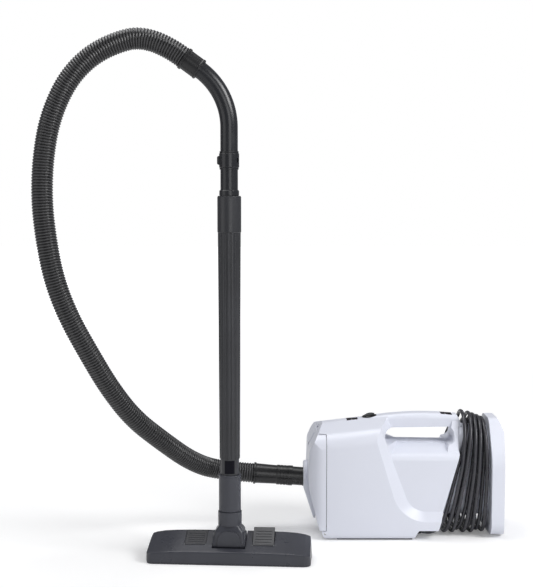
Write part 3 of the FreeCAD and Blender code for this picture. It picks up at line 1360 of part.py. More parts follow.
def sole_plate():
    """Bottom plate with the suction mouth and the brush slot."""
    plan = slab([(-nozzle_half + 0.6, nozzle_front + 0.6, 13.4),
                 (nozzle_half - 0.6, nozzle_front + 0.6, 13.4),
                 (nozzle_half - 0.6, nozzle_rear - 0.6, 19.4), (-nozzle_half + 0.6, nozzle_rear - 0.6,
                                                                19.4)],
                "xy", 0.0, sole_t)
    mouth = slab(oblong(-mouth_half, mouth_half, mouth_front, mouth_rear, 3.6), "xy", -1.0, 5.0)
    cuts = [mouth,
            box(-brush_half - 1.0, brush_half + 1.0, brush_v - 3.2, brush_v + 3.2, -1.0, 5.0)]
    cuts += [box(side * wheel_u - 5.5, side * wheel_u + 5.5, wheel_v - 9.0, wheel_v + 9.0, -1.0, 5.0)
             for side in (-1, 1)]
    cuts += [rod((u, v, -1.0), (0, 0, 1), screw_shank_d / 2 + 0.2, 6.0) for u, v in sole_screw_places()]
    cuts += [rod((u, v, -1.0), (0, 0, 1), screw_head_d / 2, 2.4) for u, v in sole_screw_places()]
    cuts += [box(u0, u0 + lint_len, lint_v - lint_wide / 2, lint_v + lint_wide / 2, -1.0, 1.2)
             for u0 in (-lint_len - 12.0, 12.0)]
    return plan.cut(cuts)


def sole_screws():
    """Six screws that hold the sole plate."""
    screws = []
    for u, v in sole_screw_places():
        shank = rod((u, v, 1.4), (0, 0, 1), screw_shank_d / 2, 8.0)
        head = rod((u, v, 0.5), (0, 0, 1), screw_head_d / 2 - 0.2, 0.9)
        screws.append(joined([shank, head]))
    return Part.makeCompound(screws)


def lint_strips():
    """Two fabric lint pickers let into the sole."""
    v0, v1 = lint_v - lint_wide / 2 + 0.3, lint_v + lint_wide / 2 - 0.3
    return Part.makeCompound([box(u0 + 0.3, u0 + lint_len - 0.3, v0, v1, 0.3, 1.2)
                              for u0 in (-lint_len - 12.0, 12.0)])


def pedal(side):
    """Foot pedal plate on its pin, flush with the nozzle's slope."""
    u0, u1 = (pedal_in, pedal_out) if side > 0 else (-pedal_out, -pedal_in)
    slope = (nozzle_top_z - nozzle_lip_z) / (25.0 - nozzle_front - 1.0)
    def top(v):
        return nozzle_lip_z + (v - nozzle_front - 1.0) * slope
    plate = slab([(pedal_front, top(pedal_front) - 0.4, 1.0), (pedal_rear, top(pedal_rear) - 0.4, 1.0),
                  (pedal_rear, top(pedal_rear) - 4.6), (pedal_front + 6.0, top(pedal_front + 6.0) - 4.6),
                  (pedal_front, 25.4)], "yz", u0, u1)
    eye = rod((u0, pedal_pin_v, pedal_pin_z), (1, 0, 0), 2.6, u1 - u0)
    grooves = [slab([(v, top(v) - 0.9), (v + 1.0, top(v) - 0.6), (v + 1.0, top(v) + 3.0),
                     (v, top(v) + 3.0)],
                    "yz", u0 + 4.0, u1 - 4.0) for v in (-11.0, -5.0, 1.0, 7.0, 13.0)]
    skirt = box(u0 + 1.0, u1 - 1.0, pedal_rear - 2.6, pedal_rear - 0.6, 26.0, top(pedal_rear) - 3.0)
    body = joined([plate, eye, skirt])
    return body.cut(grooves + [rod((u0 - 1, pedal_pin_v, pedal_pin_z), (1, 0, 0),
                                   pedal_pin_d / 2 + running_gap, u1 - u0 + 2)])


def pedal_raised():
    """The right pedal, turned up about its pin."""
    shape = pedal(1)
    shape.rotate(V(0, pedal_pin_v, pedal_pin_z), V(1, 0, 0), pedal_lift)
    return shape


def pedal_pins():
    """Pins of the two pedals."""
    return Part.makeCompound([rod((side * (pedal_in + pedal_out) / 2 - 20.8, pedal_pin_v, pedal_pin_z),
                                  (1, 0, 0),
                                  pedal_pin_d / 2, 41.6) for side in (-1, 1)])


def brush_parts():
    """Brush carrier and its bristle tufts, drawn up in the nozzle."""
    carrier = box(-brush_half, brush_half, brush_v - 2.6, brush_v + 2.6, 10.4, 15.6)
    tufts = []
    count = 38
    for i in range(count):
        u = -brush_half + 6.0 + i * (2 * brush_half - 12.0) / (count - 1)
        tufts.append(rod((u, brush_v, 0.8), (0, 0, 1), 1.5, 12.0))
    sockets = [rod((tuft.CenterOfMass.x, brush_v, 9.0), (0, 0, 1), 1.5, 3.8) for tuft in tufts]
    return {"brush_carrier": carrier.cut(sockets), "brush_bristles": Part.makeCompound(tufts)}


def wheel_parts():
    """Two small wheels under the nozzle's rear edge, on their axles."""
    pieces = {}
    for name, side in (("wheel_left", -1), ("wheel_right", 1)):
        pieces[name] = turned([(0.0, 1.5 + running_gap), (0.0, wheel_r - 0.8), (0.8, wheel_r),
                               (wheel_len - 0.8, wheel_r),
                               (wheel_len, wheel_r - 0.8), (wheel_len, 1.5 + running_gap)],
                              (side * wheel_u - wheel_len / 2, wheel_v, wheel_r), (1, 0, 0))
    pieces["wheel_axles"] = Part.makeCompound([rod((side * wheel_u - 8.6, wheel_v, wheel_r), (1, 0, 0),
                                                   1.5, 17.2)
                                               for side in (-1, 1)])
    return pieces


def machine_pieces():
    """Every piece of the machine in its own frame."""
    whole = housing_shell()
    pieces = {"housing_near": housing_half(whole, -1), "housing_far": housing_half(whole, 1),
              "housing_screws": housing_screws(), "rubber_feet": rubber_feet(), "front_cover": front_cover(),
              "cover_latch": cover_latch(), "hinge_pin": hinge_pin(), "cover_seal": cover_seal(),
              "inlet_collar": inlet_collar(), "inlet_gasket": inlet_gasket(),
              "hose_end_fitting": hose_end_fitting(), "hose_cuff_machine": hose_cuff_machine(),
              "rear_plate": rear_plate(), "rear_plate_screws": rear_plate_screws(),
              "cord_grommet": cord_grommet(), "power_cord_lead": power_cord_lead(),
              "power_cord_winding": power_cord_winding(), "power_plug": power_plug(),
              "plug_blades": Part.makeCompound(plug_blade_blocks(4.0))}
    pieces.update(bag_and_filters())
    pieces.update(motor_pieces())
    pieces.update(switch_pieces())
    pieces.update(strap_bars())
    return pieces


def tool_pieces():
    """Every piece of the floor tool in its own frame."""
    pieces = {"elbow": elbow(), "elbow_pins": elbow_pins(), "nozzle_shell": nozzle_shell(),
              "sole_plate": sole_plate(), "sole_screws": sole_screws(), "lint_strips": lint_strips(),
              "pedal_left": pedal(-1), "pedal_right": pedal_raised(), "pedal_pins": pedal_pins()}
    pieces.update(brush_parts())
    pieces.update(wheel_parts())
    return pieces


def main():
    """Write one STEP file per piece."""
    os.makedirs("parts", exist_ok=True)
    pieces = {name: moved(shape, (machine_x, machine_y, 0)) for name, shape in machine_pieces().items()}
    pieces.update({"hose": hose(), "hose_cuff_handle": hose_cuff_handle(), "bent_tube": bent_tube(),
                   "bleed_ring": bleed_ring(), "wand": wand(), "neck_tube": neck_tube()})
    pieces.update({name: tool_placed(shape) for name, shape in tool_pieces().items()})
    for name, shape in pieces.items():
        solids = shape.Solids
        print(name, "valid" if shape.isValid() else "NOT VALID", len(solids),
              round(sum(solid.Volume for solid in solids) / 1000, 2))
        shape.exportStep("parts/" + name + ".step")


if __name__ == "__main__":
    main()
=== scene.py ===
# %% [markdown]
# A portable canister vacuum cleaner
#
# The construction of the cleaner is already fixed: every rigid piece comes in as a
# mesh at its real place and size. This lesson adds what the construction leaves out,
# which is the finish of each surface, the ribbed hose, the mains cord and the soft
# pieces. All lengths are in metres.

# %% Load the construction
import math

import bpy
import numpy as np
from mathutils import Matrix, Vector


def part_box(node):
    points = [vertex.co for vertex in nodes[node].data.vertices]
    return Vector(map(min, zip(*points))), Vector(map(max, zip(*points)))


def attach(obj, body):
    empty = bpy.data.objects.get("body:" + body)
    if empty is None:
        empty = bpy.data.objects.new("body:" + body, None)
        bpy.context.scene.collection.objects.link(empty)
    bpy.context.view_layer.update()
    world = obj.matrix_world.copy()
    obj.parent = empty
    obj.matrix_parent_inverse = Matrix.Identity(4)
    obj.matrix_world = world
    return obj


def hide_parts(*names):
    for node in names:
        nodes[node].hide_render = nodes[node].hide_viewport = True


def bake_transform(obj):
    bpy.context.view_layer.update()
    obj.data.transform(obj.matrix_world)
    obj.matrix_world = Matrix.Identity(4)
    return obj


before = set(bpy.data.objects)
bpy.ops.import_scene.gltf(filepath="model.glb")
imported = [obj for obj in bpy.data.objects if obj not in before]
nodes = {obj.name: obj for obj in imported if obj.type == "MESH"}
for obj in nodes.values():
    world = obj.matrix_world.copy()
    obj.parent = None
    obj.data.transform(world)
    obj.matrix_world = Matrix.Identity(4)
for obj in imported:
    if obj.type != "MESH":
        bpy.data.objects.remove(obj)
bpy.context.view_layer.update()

scene = bpy.context.scene
print("pieces loaded:", len(nodes))

# %% [markdown]
# The places that the soft pieces share with the construction are named first. The
# machine lies at its own place in the common frame, and the wand stands beside it on
# its floor tool, which is turned a few degrees. Cord and hose start at named points,
# so a change here moves everything that follows.

# %% Shared sizes and places
machine = np.array([0.085, 0.080, 0.0])
wand_foot = np.array([-0.180, -0.1175, 0.0])
tool_yaw = math.radians(-4.2)
cord_d = 0.007
hose_d = 0.0375
hose_valley_d = 0.0340
hose_bore_d = 0.0300
hose_ribs = 236
photo_width, focal_pixels = 533, 1200.0


def on_tool(points):
    """Points of the floor tool's own frame, turned by its yaw and moved under the wand."""
    turn = np.array([[math.cos(tool_yaw), -math.sin(tool_yaw), 0.0],
                     [math.sin(tool_yaw), math.cos(tool_yaw), 0.0], [0.0, 0.0, 1.0]])
    return points @ turn.T + wand_foot


# %% [markdown]
# The camera stands where the photographer's camera stood: a little over two metres in
# front, at two thirds of the height of the hose's bow, and tilted down by four and a half
# degrees. A long lens keeps the upright wand nearly parallel. Its focal length is 1200
# pixels on a picture 533 pixels wide, which the sensor's width turns into millimetres.

# %% Camera
camera_data = bpy.data.cameras.new("camera")
camera = bpy.data.objects.new("camera", camera_data)
scene.collection.objects.link(camera)
camera_data.sensor_fit = "HORIZONTAL"
camera_data.sensor_width = 36.0
camera_data.lens = camera_data.sensor_width * focal_pixels / photo_width
camera_data.clip_end = 50.0
camera.location = (-0.116, -2.184, 0.628)
camera.rotation_euler = (math.radians(90.0 - 4.48), 0.0, 0.0)
scene.camera = camera
print("lens:", round(camera_data.lens, 1), "mm")

# %% [markdown]
# Four large soft lamps light the cleaner. The strongest stands high at the right, so
# that the slanted band of the body, which faces right, is its brightest surface and the
# nose stays a tone darker. A weaker one in front puts a soft streak on the upright tubes.
# The third hangs overhead and lights the edges along the top. The last and weakest stands
# low at the left. It opens the shaded side of the nose and gives the wand a left edge.
# The world adds a little even light, and the camera sees it as plain white.

# %% Lamps and world
scene.view_settings.view_transform = "Standard"


def soft_lamp(name, place, aim, size, power):
    """A square area lamp at a place, turned to face the aim."""
    data = bpy.data.lights.new(name, "AREA")
    data.shape = "SQUARE"
    data.size = size
    data.energy = power
    lamp = bpy.data.objects.new(name, data)
    scene.collection.objects.link(lamp)
    lamp.location = place
    way = np.array(aim, float) - np.array(place, float)
    lamp.rotation_euler = (math.atan2(math.hypot(way[0], way[1]), -way[2]), 0.0,
                           math.atan2(way[1], way[0]) - math.pi / 2)
    return lamp


soft_lamp("key_lamp", (1.9, -1.2, 2.0), (0.1, 0.0, 0.2), 1.3, 50.0)
soft_lamp("front_lamp", (0.7, -3.3, 1.0), (0.0, 0.0, 0.35), 1.6, 17.0)
soft_lamp("top_lamp", (-0.5, 0.3, 2.4), (-0.1, 0.0, 0.2), 1.6, 28.0)
soft_lamp("left_lamp", (-2.3, -1.1, 0.7), (0.0, 0.0, 0.3), 1.8, 9.0)

world = bpy.data.worlds.new("studio")
scene.world = world
world.use_nodes = True
tree = world.node_tree
tree.nodes.clear()
soft = tree.nodes.new("ShaderNodeBackground")
soft.inputs["Color"].default_value = (0.95, 0.96, 1.0, 1.0)
soft.inputs["Strength"].default_value = 0.24
white = tree.nodes.new("ShaderNodeBackground")
white.inputs["Color"].default_value = (1.0, 1.0, 1.0, 1.0)
white.inputs["Strength"].default_value = 1.0
rays = tree.nodes.new("ShaderNodeLightPath")
chooser = tree.nodes.new("ShaderNodeMixShader")
tree.links.new(rays.outputs["Is Camera Ray"], chooser.inputs[0])
tree.links.new(soft.outputs[0], chooser.inputs[1])
tree.links.new(white.outputs[0], chooser.inputs[2])
tree.links.new(chooser.outputs[0], tree.nodes.new("ShaderNodeOutputWorld").inputs[0])
print("lamps:", len(bpy.data.lights))

# %% [markdown]
# The floor is pale paper. Real paper under studio lamps is a little darker than the
# white behind it, which would draw a horizon line. The photographer overexposes it. Here
# the paper gets a glow that only the camera sees, weak near the cleaner, where the soft
# shadows lie, and stronger far away, so that the floor runs into the white background.

# %% Floor
floor_mesh = bpy.data.meshes.new("floor")
floor_mesh.from_pydata([(-12, -6, 0), (12, -6, 0), (12, 14, 0), (-12, 14, 0)], [], [(0, 1, 2, 3)])
floor = bpy.data.objects.new("floor", floor_mesh)
scene.collection.objects.link(floor)
paper = bpy.data.materials.new("floor_paper")
paper.use_nodes = True
tree = paper.node_tree
shader = tree.nodes["Principled BSDF"]
shader.inputs["Base Color"].default_value = (0.90, 0.90, 0.90, 1.0)
shader.inputs["Roughness"].default_value = 0.8
shader.inputs["Specular IOR Level"].default_value = 0.1
where = tree.nodes.new("ShaderNodeTexCoord").outputs["Object"]
reach = tree.nodes.new("ShaderNodeVectorMath")
reach.operation = "LENGTH"
tree.links.new(where, reach.inputs[0])
glow = tree.nodes.new("ShaderNodeMapRange")
glow.inputs["From Min"].default_value = 0.5
glow.inputs["From Max"].default_value = 4.0
glow.inputs["To Min"].default_value = 0.16
glow.inputs["To Max"].default_value = 1.0
tree.links.new(reach.outputs["Value"], glow.inputs["Value"])
seen = tree.nodes.new("ShaderNodeMath")
seen.operation = "MULTIPLY"
tree.links.new(glow.outputs["Result"], seen.inputs[0])
tree.links.new(tree.nodes.new("ShaderNodeLightPath").outputs["Is Camera Ray"], seen.inputs[1])
shader.inputs["Emission Color"].default_value = (1.0, 1.0, 1.0, 1.0)
tree.links.new(seen.outputs[0], shader.inputs["Emission Strength"])
floor_mesh.materials.append(paper)
print("floor is in place")

# %% [markdown]
# Moulded plastic is never one flat colour. The tool that formed it leaves a fine grain,
# the melt leaves slow clouds of slightly different tone, and handling leaves some
# patches glossier than others. One helper mixes these three in every plastic of the
# cleaner: clouds in the colour, clouds in the roughness and grain as bump, all read in
# object coordinates, so that they stay on the piece when it moves. A marked box changes
# colour and loses its gloss, which paints shade into a deep slot and also suits a matt pad.

# %% Material helpers
def new_material(name):
    """An empty material with its tree, its shader and object coordinates."""
    made = bpy.data.materials.new(name)
    made.use_nodes = True
    made_tree = made.node_tree
    where = made_tree.nodes.new("ShaderNodeTexCoord")
    return made, made_tree, made_tree.nodes["Principled BSDF"], where.outputs["Object"]


def noise(made_tree, where, scale, detail=3.0, roughness=0.55):
    """Cloud pattern of a given scale, in repeats per metre."""
    node = made_tree.nodes.new("ShaderNodeTexNoise")
    node.inputs["Scale"].default_value = scale
    node.inputs["Detail"].default_value = detail
    node.inputs["Roughness"].default_value = roughness
    made_tree.links.new(where, node.inputs["Vector"])
    return node.outputs["Fac"]


def stretched(made_tree, where, scale):
    """The coordinates scaled by different factors, for drawn or brushed patterns."""
    node = made_tree.nodes.new("ShaderNodeMapping")
    node.inputs["Scale"].default_value = scale
    made_tree.links.new(where, node.inputs["Vector"])
    return node.outputs["Vector"]


def ramp(made_tree, value, stops):
    """Colours or greys at stops (position, colour) of a value."""
    node = made_tree.nodes.new("ShaderNodeValToRGB")
    marks = node.color_ramp.elements
    while len(marks) < len(stops):
        marks.new(0.5)
    for mark, (place, colour) in zip(marks, stops):
        colour = colour if hasattr(colour, "__len__") else (colour,) * 3
        mark.position = place
        mark.color = (*colour, 1.0)
    made_tree.links.new(value, node.inputs["Fac"])
    return node.outputs["Color"]


def mixed(made_tree, share, under, over):
    """Under where the share is 0 and over where it is 1."""
    node = made_tree.nodes.new("ShaderNodeMix")
    node.data_type = "RGBA"
    made_tree.links.new(share, node.inputs["Factor"])
    for socket, value in ((node.inputs[6], under), (node.inputs[7], over)):
        if isinstance(value, bpy.types.NodeSocket):
            made_tree.links.new(value, socket)
        else:
            socket.default_value = (*value, 1.0)
    return node.outputs[2]


def inside_box(made_tree, where, low, high):
    """1 inside a box of object coordinates and 0 outside: three nearness tests multiplied."""
    split = made_tree.nodes.new("ShaderNodeSeparateXYZ")
    made_tree.links.new(where, split.inputs[0])
    share = None
    for axis in range(3):
        near = made_tree.nodes.new("ShaderNodeMath")
        near.operation = "COMPARE"
        made_tree.links.new(split.outputs[axis], near.inputs[0])
        near.inputs[1].default_value = (low[axis] + high[axis]) / 2
        near.inputs[2].default_value = (high[axis] - low[axis]) / 2
        if share is None:
            share = near.outputs[0]
            continue
        both = made_tree.nodes.new("ShaderNodeMath")
        both.operation = "MULTIPLY"
        made_tree.links.new(share, both.inputs[0])
        made_tree.links.new(near.outputs[0], both.inputs[1])
        share = both.outputs[0]
    return share


def bumped(made_tree, shader, height, distance, edge=0.0):
    """Bump of a height field, over edges that look rounded by a radius if one is given."""
    node = made_tree.nodes.new("ShaderNodeBump")
    node.inputs["Distance"].default_value = distance
    made_tree.links.new(height, node.inputs["Height"])
    if edge:
        soft_edge = made_tree.nodes.new("ShaderNodeBevel")
        soft_edge.samples = 4
        soft_edge.inputs["Radius"].default_value = edge
        made_tree.links.new(soft_edge.outputs["Normal"], node.inputs["Normal"])
    made_tree.links.new(node.outputs["Normal"], shader.inputs["Normal"])


def shades(colour, spread):
    """A darker and a lighter tone round a colour."""
    return [tuple(min(1.0, channel * factor) for channel in colour)
            for factor in (1.0 - spread, 1.0 + spread)]


def plastic(name, colour, roughness, grain=900.0, height=0.00004, spread=0.04, edge=0.0006, marks=()):
    """Moulded plastic: cloudy colour, cloudy gloss, fine grain, and marked boxes of another colour
    (painted shade in slots).
    """
    made, made_tree, shader, where = new_material(name)
    dark, light = shades(colour, spread)
    tone = ramp(made_tree, noise(made_tree, where, 9.0), [(0.3, dark), (0.7, light)])
    sheen = (0.5,) * 3
    # A marked box takes another colour and less gloss; in the body's slots that colour is painted shade.
    for low, high, other in marks:
        inside = inside_box(made_tree, where, low, high)
        tone = mixed(made_tree, inside, tone, other)
        sheen = mixed(made_tree, inside, sheen, (0.08,) * 3)
    if marks:
        made_tree.links.new(sheen, shader.inputs["Specular IOR Level"])
    made_tree.links.new(tone, shader.inputs["Base Color"])
    gloss = ramp(made_tree, noise(made_tree, where, 26.0),
                 [(0.3, roughness + 0.05), (0.7, max(roughness - 0.05, 0.05))])
    made_tree.links.new(gloss, shader.inputs["Roughness"])
    bumped(made_tree, shader, noise(made_tree, where, grain, 2.0), height, edge)
    return made


def metal(name, colour, roughness, brushed=1400.0):
    """Bare metal with fine drawn lines and a little tarnish."""
    made, made_tree, shader, where = new_material(name)
    shader.inputs["Metallic"].default_value = 1.0
    dark, light = shades(colour, 0.10)
    made_tree.links.new(ramp(made_tree, noise(made_tree, where, 60.0), [(0.35, dark), (0.65, light)]),
                        shader.inputs["Base Color"])
    lines = noise(made_tree, stretched(made_tree, where, (1.0, 0.08, 1.0)), brushed, 2.0)
    made_tree.links.new(ramp(made_tree, lines, [(0.3, roughness - 0.08), (0.7, roughness + 0.1)]),
                        shader.inputs["Roughness"])
    bumped(made_tree, shader, lines, 0.00001)
    return made


def dress(material, *names):
    """Give CAD pieces a material."""
    for name in names:
        mesh = nodes[name].data
        mesh.materials.clear()
        mesh.materials.append(material)


print("material helpers are ready")

# %% [markdown]
# The body is a cool white shell with a soft sheen. The two slots in its top, where a
# carrying strap hooks in, are deep and look dark inside. A box in object coordinates
# marks the walls of each slot and paints shade there, so one material carries the white
# and the painted shade and no extra piece is needed. The switch is glossy black.

# %% Finishes of the body
slot_half = np.array([0.0108, 0.0133])
# Painted shade: the walls of each slot are painted dark grey where shade falls inside it.
slot_painted_shade = (0.085, 0.078, 0.085)
slot_shade_boxes = []
for slot_x, slot_top in ((-0.038, 0.2115), (0.140, 0.2235)):
    middle = machine + np.array([slot_x, 0.0, 0.0])
    low = (middle[0] - slot_half[0], middle[1] - slot_half[1], slot_top - 0.019)
    high = (middle[0] + slot_half[0], middle[1] + slot_half[1], slot_top)
    slot_shade_boxes.append((low, high, slot_painted_shade))
white_shell = plastic("white_shell", (0.71, 0.73, 0.81), 0.34, 1400.0, 0.000015, 0.012, 0.0012,
                      slot_shade_boxes)
switch_black = plastic("switch_black", (0.008, 0.008, 0.009), 0.20, 1500.0, 0.00001, 0.08)
rubber = plastic("rubber_black", (0.020, 0.020, 0.021), 0.62, 700.0, 0.00006, 0.12)
inner_grey = plastic("inner_grey", (0.075, 0.078, 0.085), 0.45, 900.0, 0.00006, 0.08)
carbon = plastic("brush_carbon", (0.012, 0.012, 0.012), 0.55, 600.0, 0.00008, 0.15)
card = plastic("bag_card", (0.36, 0.29, 0.20), 0.80, 500.0, 0.0001, 0.08)
dress(white_shell, "housing_near", "housing_far", "front_cover", "inlet_collar", "rear_plate",
      "cover_latch")
dress(switch_black, "switch_bezel", "rocker_button")
dress(rubber, "rubber_feet", "cover_seal", "inlet_gasket", "cord_grommet", "motor_mount_front",
      "motor_mount_rear")
dress(inner_grey, "bag_holder", "filter_grid", "fan_case")
dress(carbon, "motor_brushes")
dress(card, "bag_collar")
print("body finishes:", len(bpy.data.materials))

# %% [markdown]
# Wand and floor tool are charcoal with a visible moulded grain. The wand's grain is
# coarser. The lower end of the wand has a flat recess with a dark pad, again one marked
# box. The foot pedals are a shade darker than the shell round them. The bent tube and
# the hose cuffs are smoother and nearly black.

# %% Finishes of the tools
charcoal = plastic("charcoal_tool", (0.038, 0.040, 0.051), 0.30, 1100.0, 0.00003, 0.10, 0.0014)
pedal_black = plastic("pedal_black", (0.020, 0.021, 0.026), 0.42, 900.0, 0.00003, 0.10)
wand_pad = (wand_foot + (-0.0086, -0.022, 0.1540), wand_foot + (0.0086, -0.0128, 0.1770),
            (0.006, 0.006, 0.010))
wand_grain = plastic("wand_grain", (0.026, 0.027, 0.031), 0.34, 700.0, 0.00010, 0.16, 0.0005, [wand_pad])
tube_black = plastic("tube_black", (0.014, 0.015, 0.018), 0.28, 1500.0, 0.000004, 0.10)
cuff_black = plastic("cuff_black", (0.012, 0.012, 0.013), 0.30, 1200.0, 0.00003, 0.12)
dress(charcoal, "neck_tube", "elbow", "nozzle_shell", "sole_plate", "brush_carrier")
dress(pedal_black, "pedal_left", "pedal_right")
dress(wand_grain, "wand")
dress(tube_black, "bent_tube", "bleed_ring")
dress(cuff_black, "hose_end_fitting", "hose_cuff_machine", "hose_cuff_handle")
dress(rubber, "wheel_left", "wheel_right")
print("tool finishes:", len(bpy.data.materials))

# %% [markdown]
# The metal pieces show a little in the joints and inside the open machine. Each metal
# is one shader with drawn lines in its roughness.

# %% Finishes of the metal pieces
steel = metal("bright_steel", (0.56, 0.57, 0.58), 0.28)
alloy = metal("fan_alloy", (0.60, 0.61, 0.62), 0.36)
zinc = metal("motor_zinc", (0.42, 0.43, 0.44), 0.40)
brass = metal("blade_brass", (0.78, 0.60, 0.30), 0.25)
dress(steel, "hinge_pin", "housing_screws", "rear_plate_screws", "strap_bar_front", "strap_bar_rear",
      "elbow_pins", "pedal_pins", "wheel_axles", "sole_screws", "rotor")
dress(alloy, "fan_impeller")
dress(zinc, "motor_can", "stator_core")
dress(brass, "plug_blades")
print("all finishes:", len(bpy.data.materials))

# %% [markdown]
# A flexible line is drawn once, as a smooth curve through given points, and then
# everything that follows it reads that curve. The curve is a spline of second degree
# whose end points are its own ends. Sampling it gives the line, its directions and two
# steady side directions, so that rings can be laid square to it without twisting.

# %% Curve helpers
def spline_curve(name, points, bevel=0.0, resolution=10):
    """A smooth open curve whose control points are the given points."""
    data = bpy.data.curves.new(name, "CURVE")
    data.dimensions = "3D"
    data.resolution_u = resolution
    spline = data.splines.new("NURBS")
    spline.points.add(len(points) - 1)
    spline.points.foreach_set("co", np.c_[np.asarray(points, float), np.ones(len(points))].ravel())
    spline.order_u = 3
    spline.use_endpoint_u = True
    data.bevel_depth = bevel
    data.bevel_resolution = 4
    data.use_fill_caps = bevel > 0
    made = bpy.data.objects.new(name, data)
    scene.collection.objects.link(made)
    return made


def sampled(points, spacing):
    """Points at even spacing along the smooth curve of the control points, and its length."""
    guide = spline_curve("guide", points, resolution=24)
    bpy.context.view_layer.update()
    mesh = bpy.data.meshes.new_from_object(guide)
    line = np.empty(3 * len(mesh.vertices))
    mesh.vertices.foreach_get("co", line)
    line = line.reshape(-1, 3)
    bpy.data.objects.remove(guide)
    bpy.data.meshes.remove(mesh)
    line = line[np.r_[True, np.linalg.norm(np.diff(line, axis=0), axis=1) > 1e-9]]
    run = np.r_[0.0, np.cumsum(np.linalg.norm(np.diff(line, axis=0), axis=1))]
    marks = np.linspace(0.0, run[-1], max(int(round(run[-1] / spacing)), 2) + 1)
    return np.stack([np.interp(marks, run, line[:, axis]) for axis in range(3)], axis=1), run[-1]


def side_frame(line, steady):
    """Unit tangents and two sides square to them, the first nearest to a steady direction."""
    tangent = np.gradient(line, axis=0)
    tangent /= np.linalg.norm(tangent, axis=1)[:, None]
    first = steady - tangent * (tangent @ steady)[:, None]
    first /= np.linalg.norm(first, axis=1)[:, None]
    return tangent, first, np.cross(tangent, first)


# %% [markdown]
# Most new pieces are grids: rows of points that run round a closed outline, stacked
# along the piece. One helper turns such grids into a mesh. It closes the end rows with a
# face each, or joins the last row to the first for a ring-shaped piece. The volume that
# the faces enclose, worked out from their corners, tells whether they point outwards.

# %% Grid helper
def grid_faces(rows, columns, ring):
    """Corner numbers of the quads between neighbouring rows, the columns joined round."""
    index = np.arange(rows * columns).reshape(rows, columns)
    below = index if ring else index[:-1]
    above = np.roll(index, -1, axis=0) if ring else index[1:]
    return np.stack([below, np.roll(below, -1, axis=1), np.roll(above, -1, axis=1), above], axis=-1)


def enclosed(grid, quads):
    """Six times the volume inside the quads: the sum of corner triple products."""
    flat = grid.reshape(-1, 3)
    a, b, c, d = (flat[quads.reshape(-1, 4)[:, k]] - flat.mean(axis=0) for k in range(4))
    return float((np.cross(a, b) * c).sum() + (np.cross(a, c) * d).sum())


def grid_piece(name, grids, material, ring=False, values=None):
    """One smooth mesh of several grids (rows, columns, 3), each closed and facing outwards."""
    points, faces, start = [], [], 0
    for grid in grids:
        quads = grid_faces(*grid.shape[:2], ring)
        if enclosed(grid, quads) < 0.0:
            grid = grid[:, ::-1]
        faces += (quads.reshape(-1, 4) + start).tolist()
        if not ring:
            last = grid.shape[0] * grid.shape[1]
            faces.append((np.arange(grid.shape[1])[::-1] + start).tolist())
            faces.append((np.arange(last - grid.shape[1], last) + start).tolist())
        points.append(grid.reshape(-1, 3))
        start += points[-1].shape[0]
    mesh = bpy.data.meshes.new(name)
    mesh.from_pydata(np.concatenate(points).tolist(), [], faces)
    mesh.polygons.foreach_set("use_smooth", np.ones(len(mesh.polygons), bool))
    if values is not None:
        mesh.attributes.new("height", "FLOAT", "POINT").data.foreach_set("value", values.ravel())
    mesh.materials.append(material)
    mesh.update()
    made = bpy.data.objects.new(name, mesh)
    scene.collection.objects.link(made)
    return made


def squarish(angle, power):
    """Sides of a squarish loop: cosine and sine of the angle, each raised towards 1 by the power."""
    bent = 2.0 / np.asarray(power)
    return (np.sign(np.cos(angle)) * np.abs(np.cos(angle)) ** bent,
            np.sign(np.sin(angle)) * np.abs(np.sin(angle)) ** bent)


# %% [markdown]
# The mains cord is a little under six metres of round rubber cord. It leaves the belly
# through its strain relief, rounds the rear corner and is wound on the neck in two
# layers: the first runs back to the rear plate, the second returns over it. Each turn is
# a squarish loop, tight at the top where it hangs on the neck and fanned out below. A
# turn moves along the neck mostly on its two sides, so that its top and its bottom lie
# nearly square to the neck. A hand winds it, so no two turns are alike: seeded wobbles,
# small at the top and larger below, move each turn. The front turns stand a little
# higher than the rest, and the turns of the second layer lie between those of the first.

# %% Mains cord
winding_turns = 4.75
points_per_turn = 32
winding_mid_z = 0.1108
# Sizes of the loops in the first and in the second layer, from the middle of a loop.
half_wide = (0.0600, 0.0672)
half_high = (0.0980, 0.1050)
half_low = (0.1035, 0.1070)
# The row of tops and the row of bottoms along the neck, from its front to the plate.
top_x = (0.1755, 0.2125)
low_x = (0.1285, 0.2085)
top_power, low_power = 2.3, 4.5
low_spread = 0.06
second_shift = 0.0084
first_lean = 0.009
stray_along, stray_out = 0.0034, 0.0008
wobble = np.random.default_rng(11).uniform(-1.0, 1.0, (2, 44))


def wobbled(row, turns):
    """A smooth random value between -1 and 1 that changes four times a turn."""
    place = np.clip(turns * 4.0, 0.0, wobble.shape[1] - 1.001)
    first = place.astype(int)
    share = 0.5 - 0.5 * np.cos(math.pi * (place - first))
    return wobble[row][first] * (1.0 - share) + wobble[row][first + 1] * share


def between(pair, share):
    """The value at a share of the way from the first of a pair to the second."""
    return pair[0] + (pair[1] - pair[0]) * share


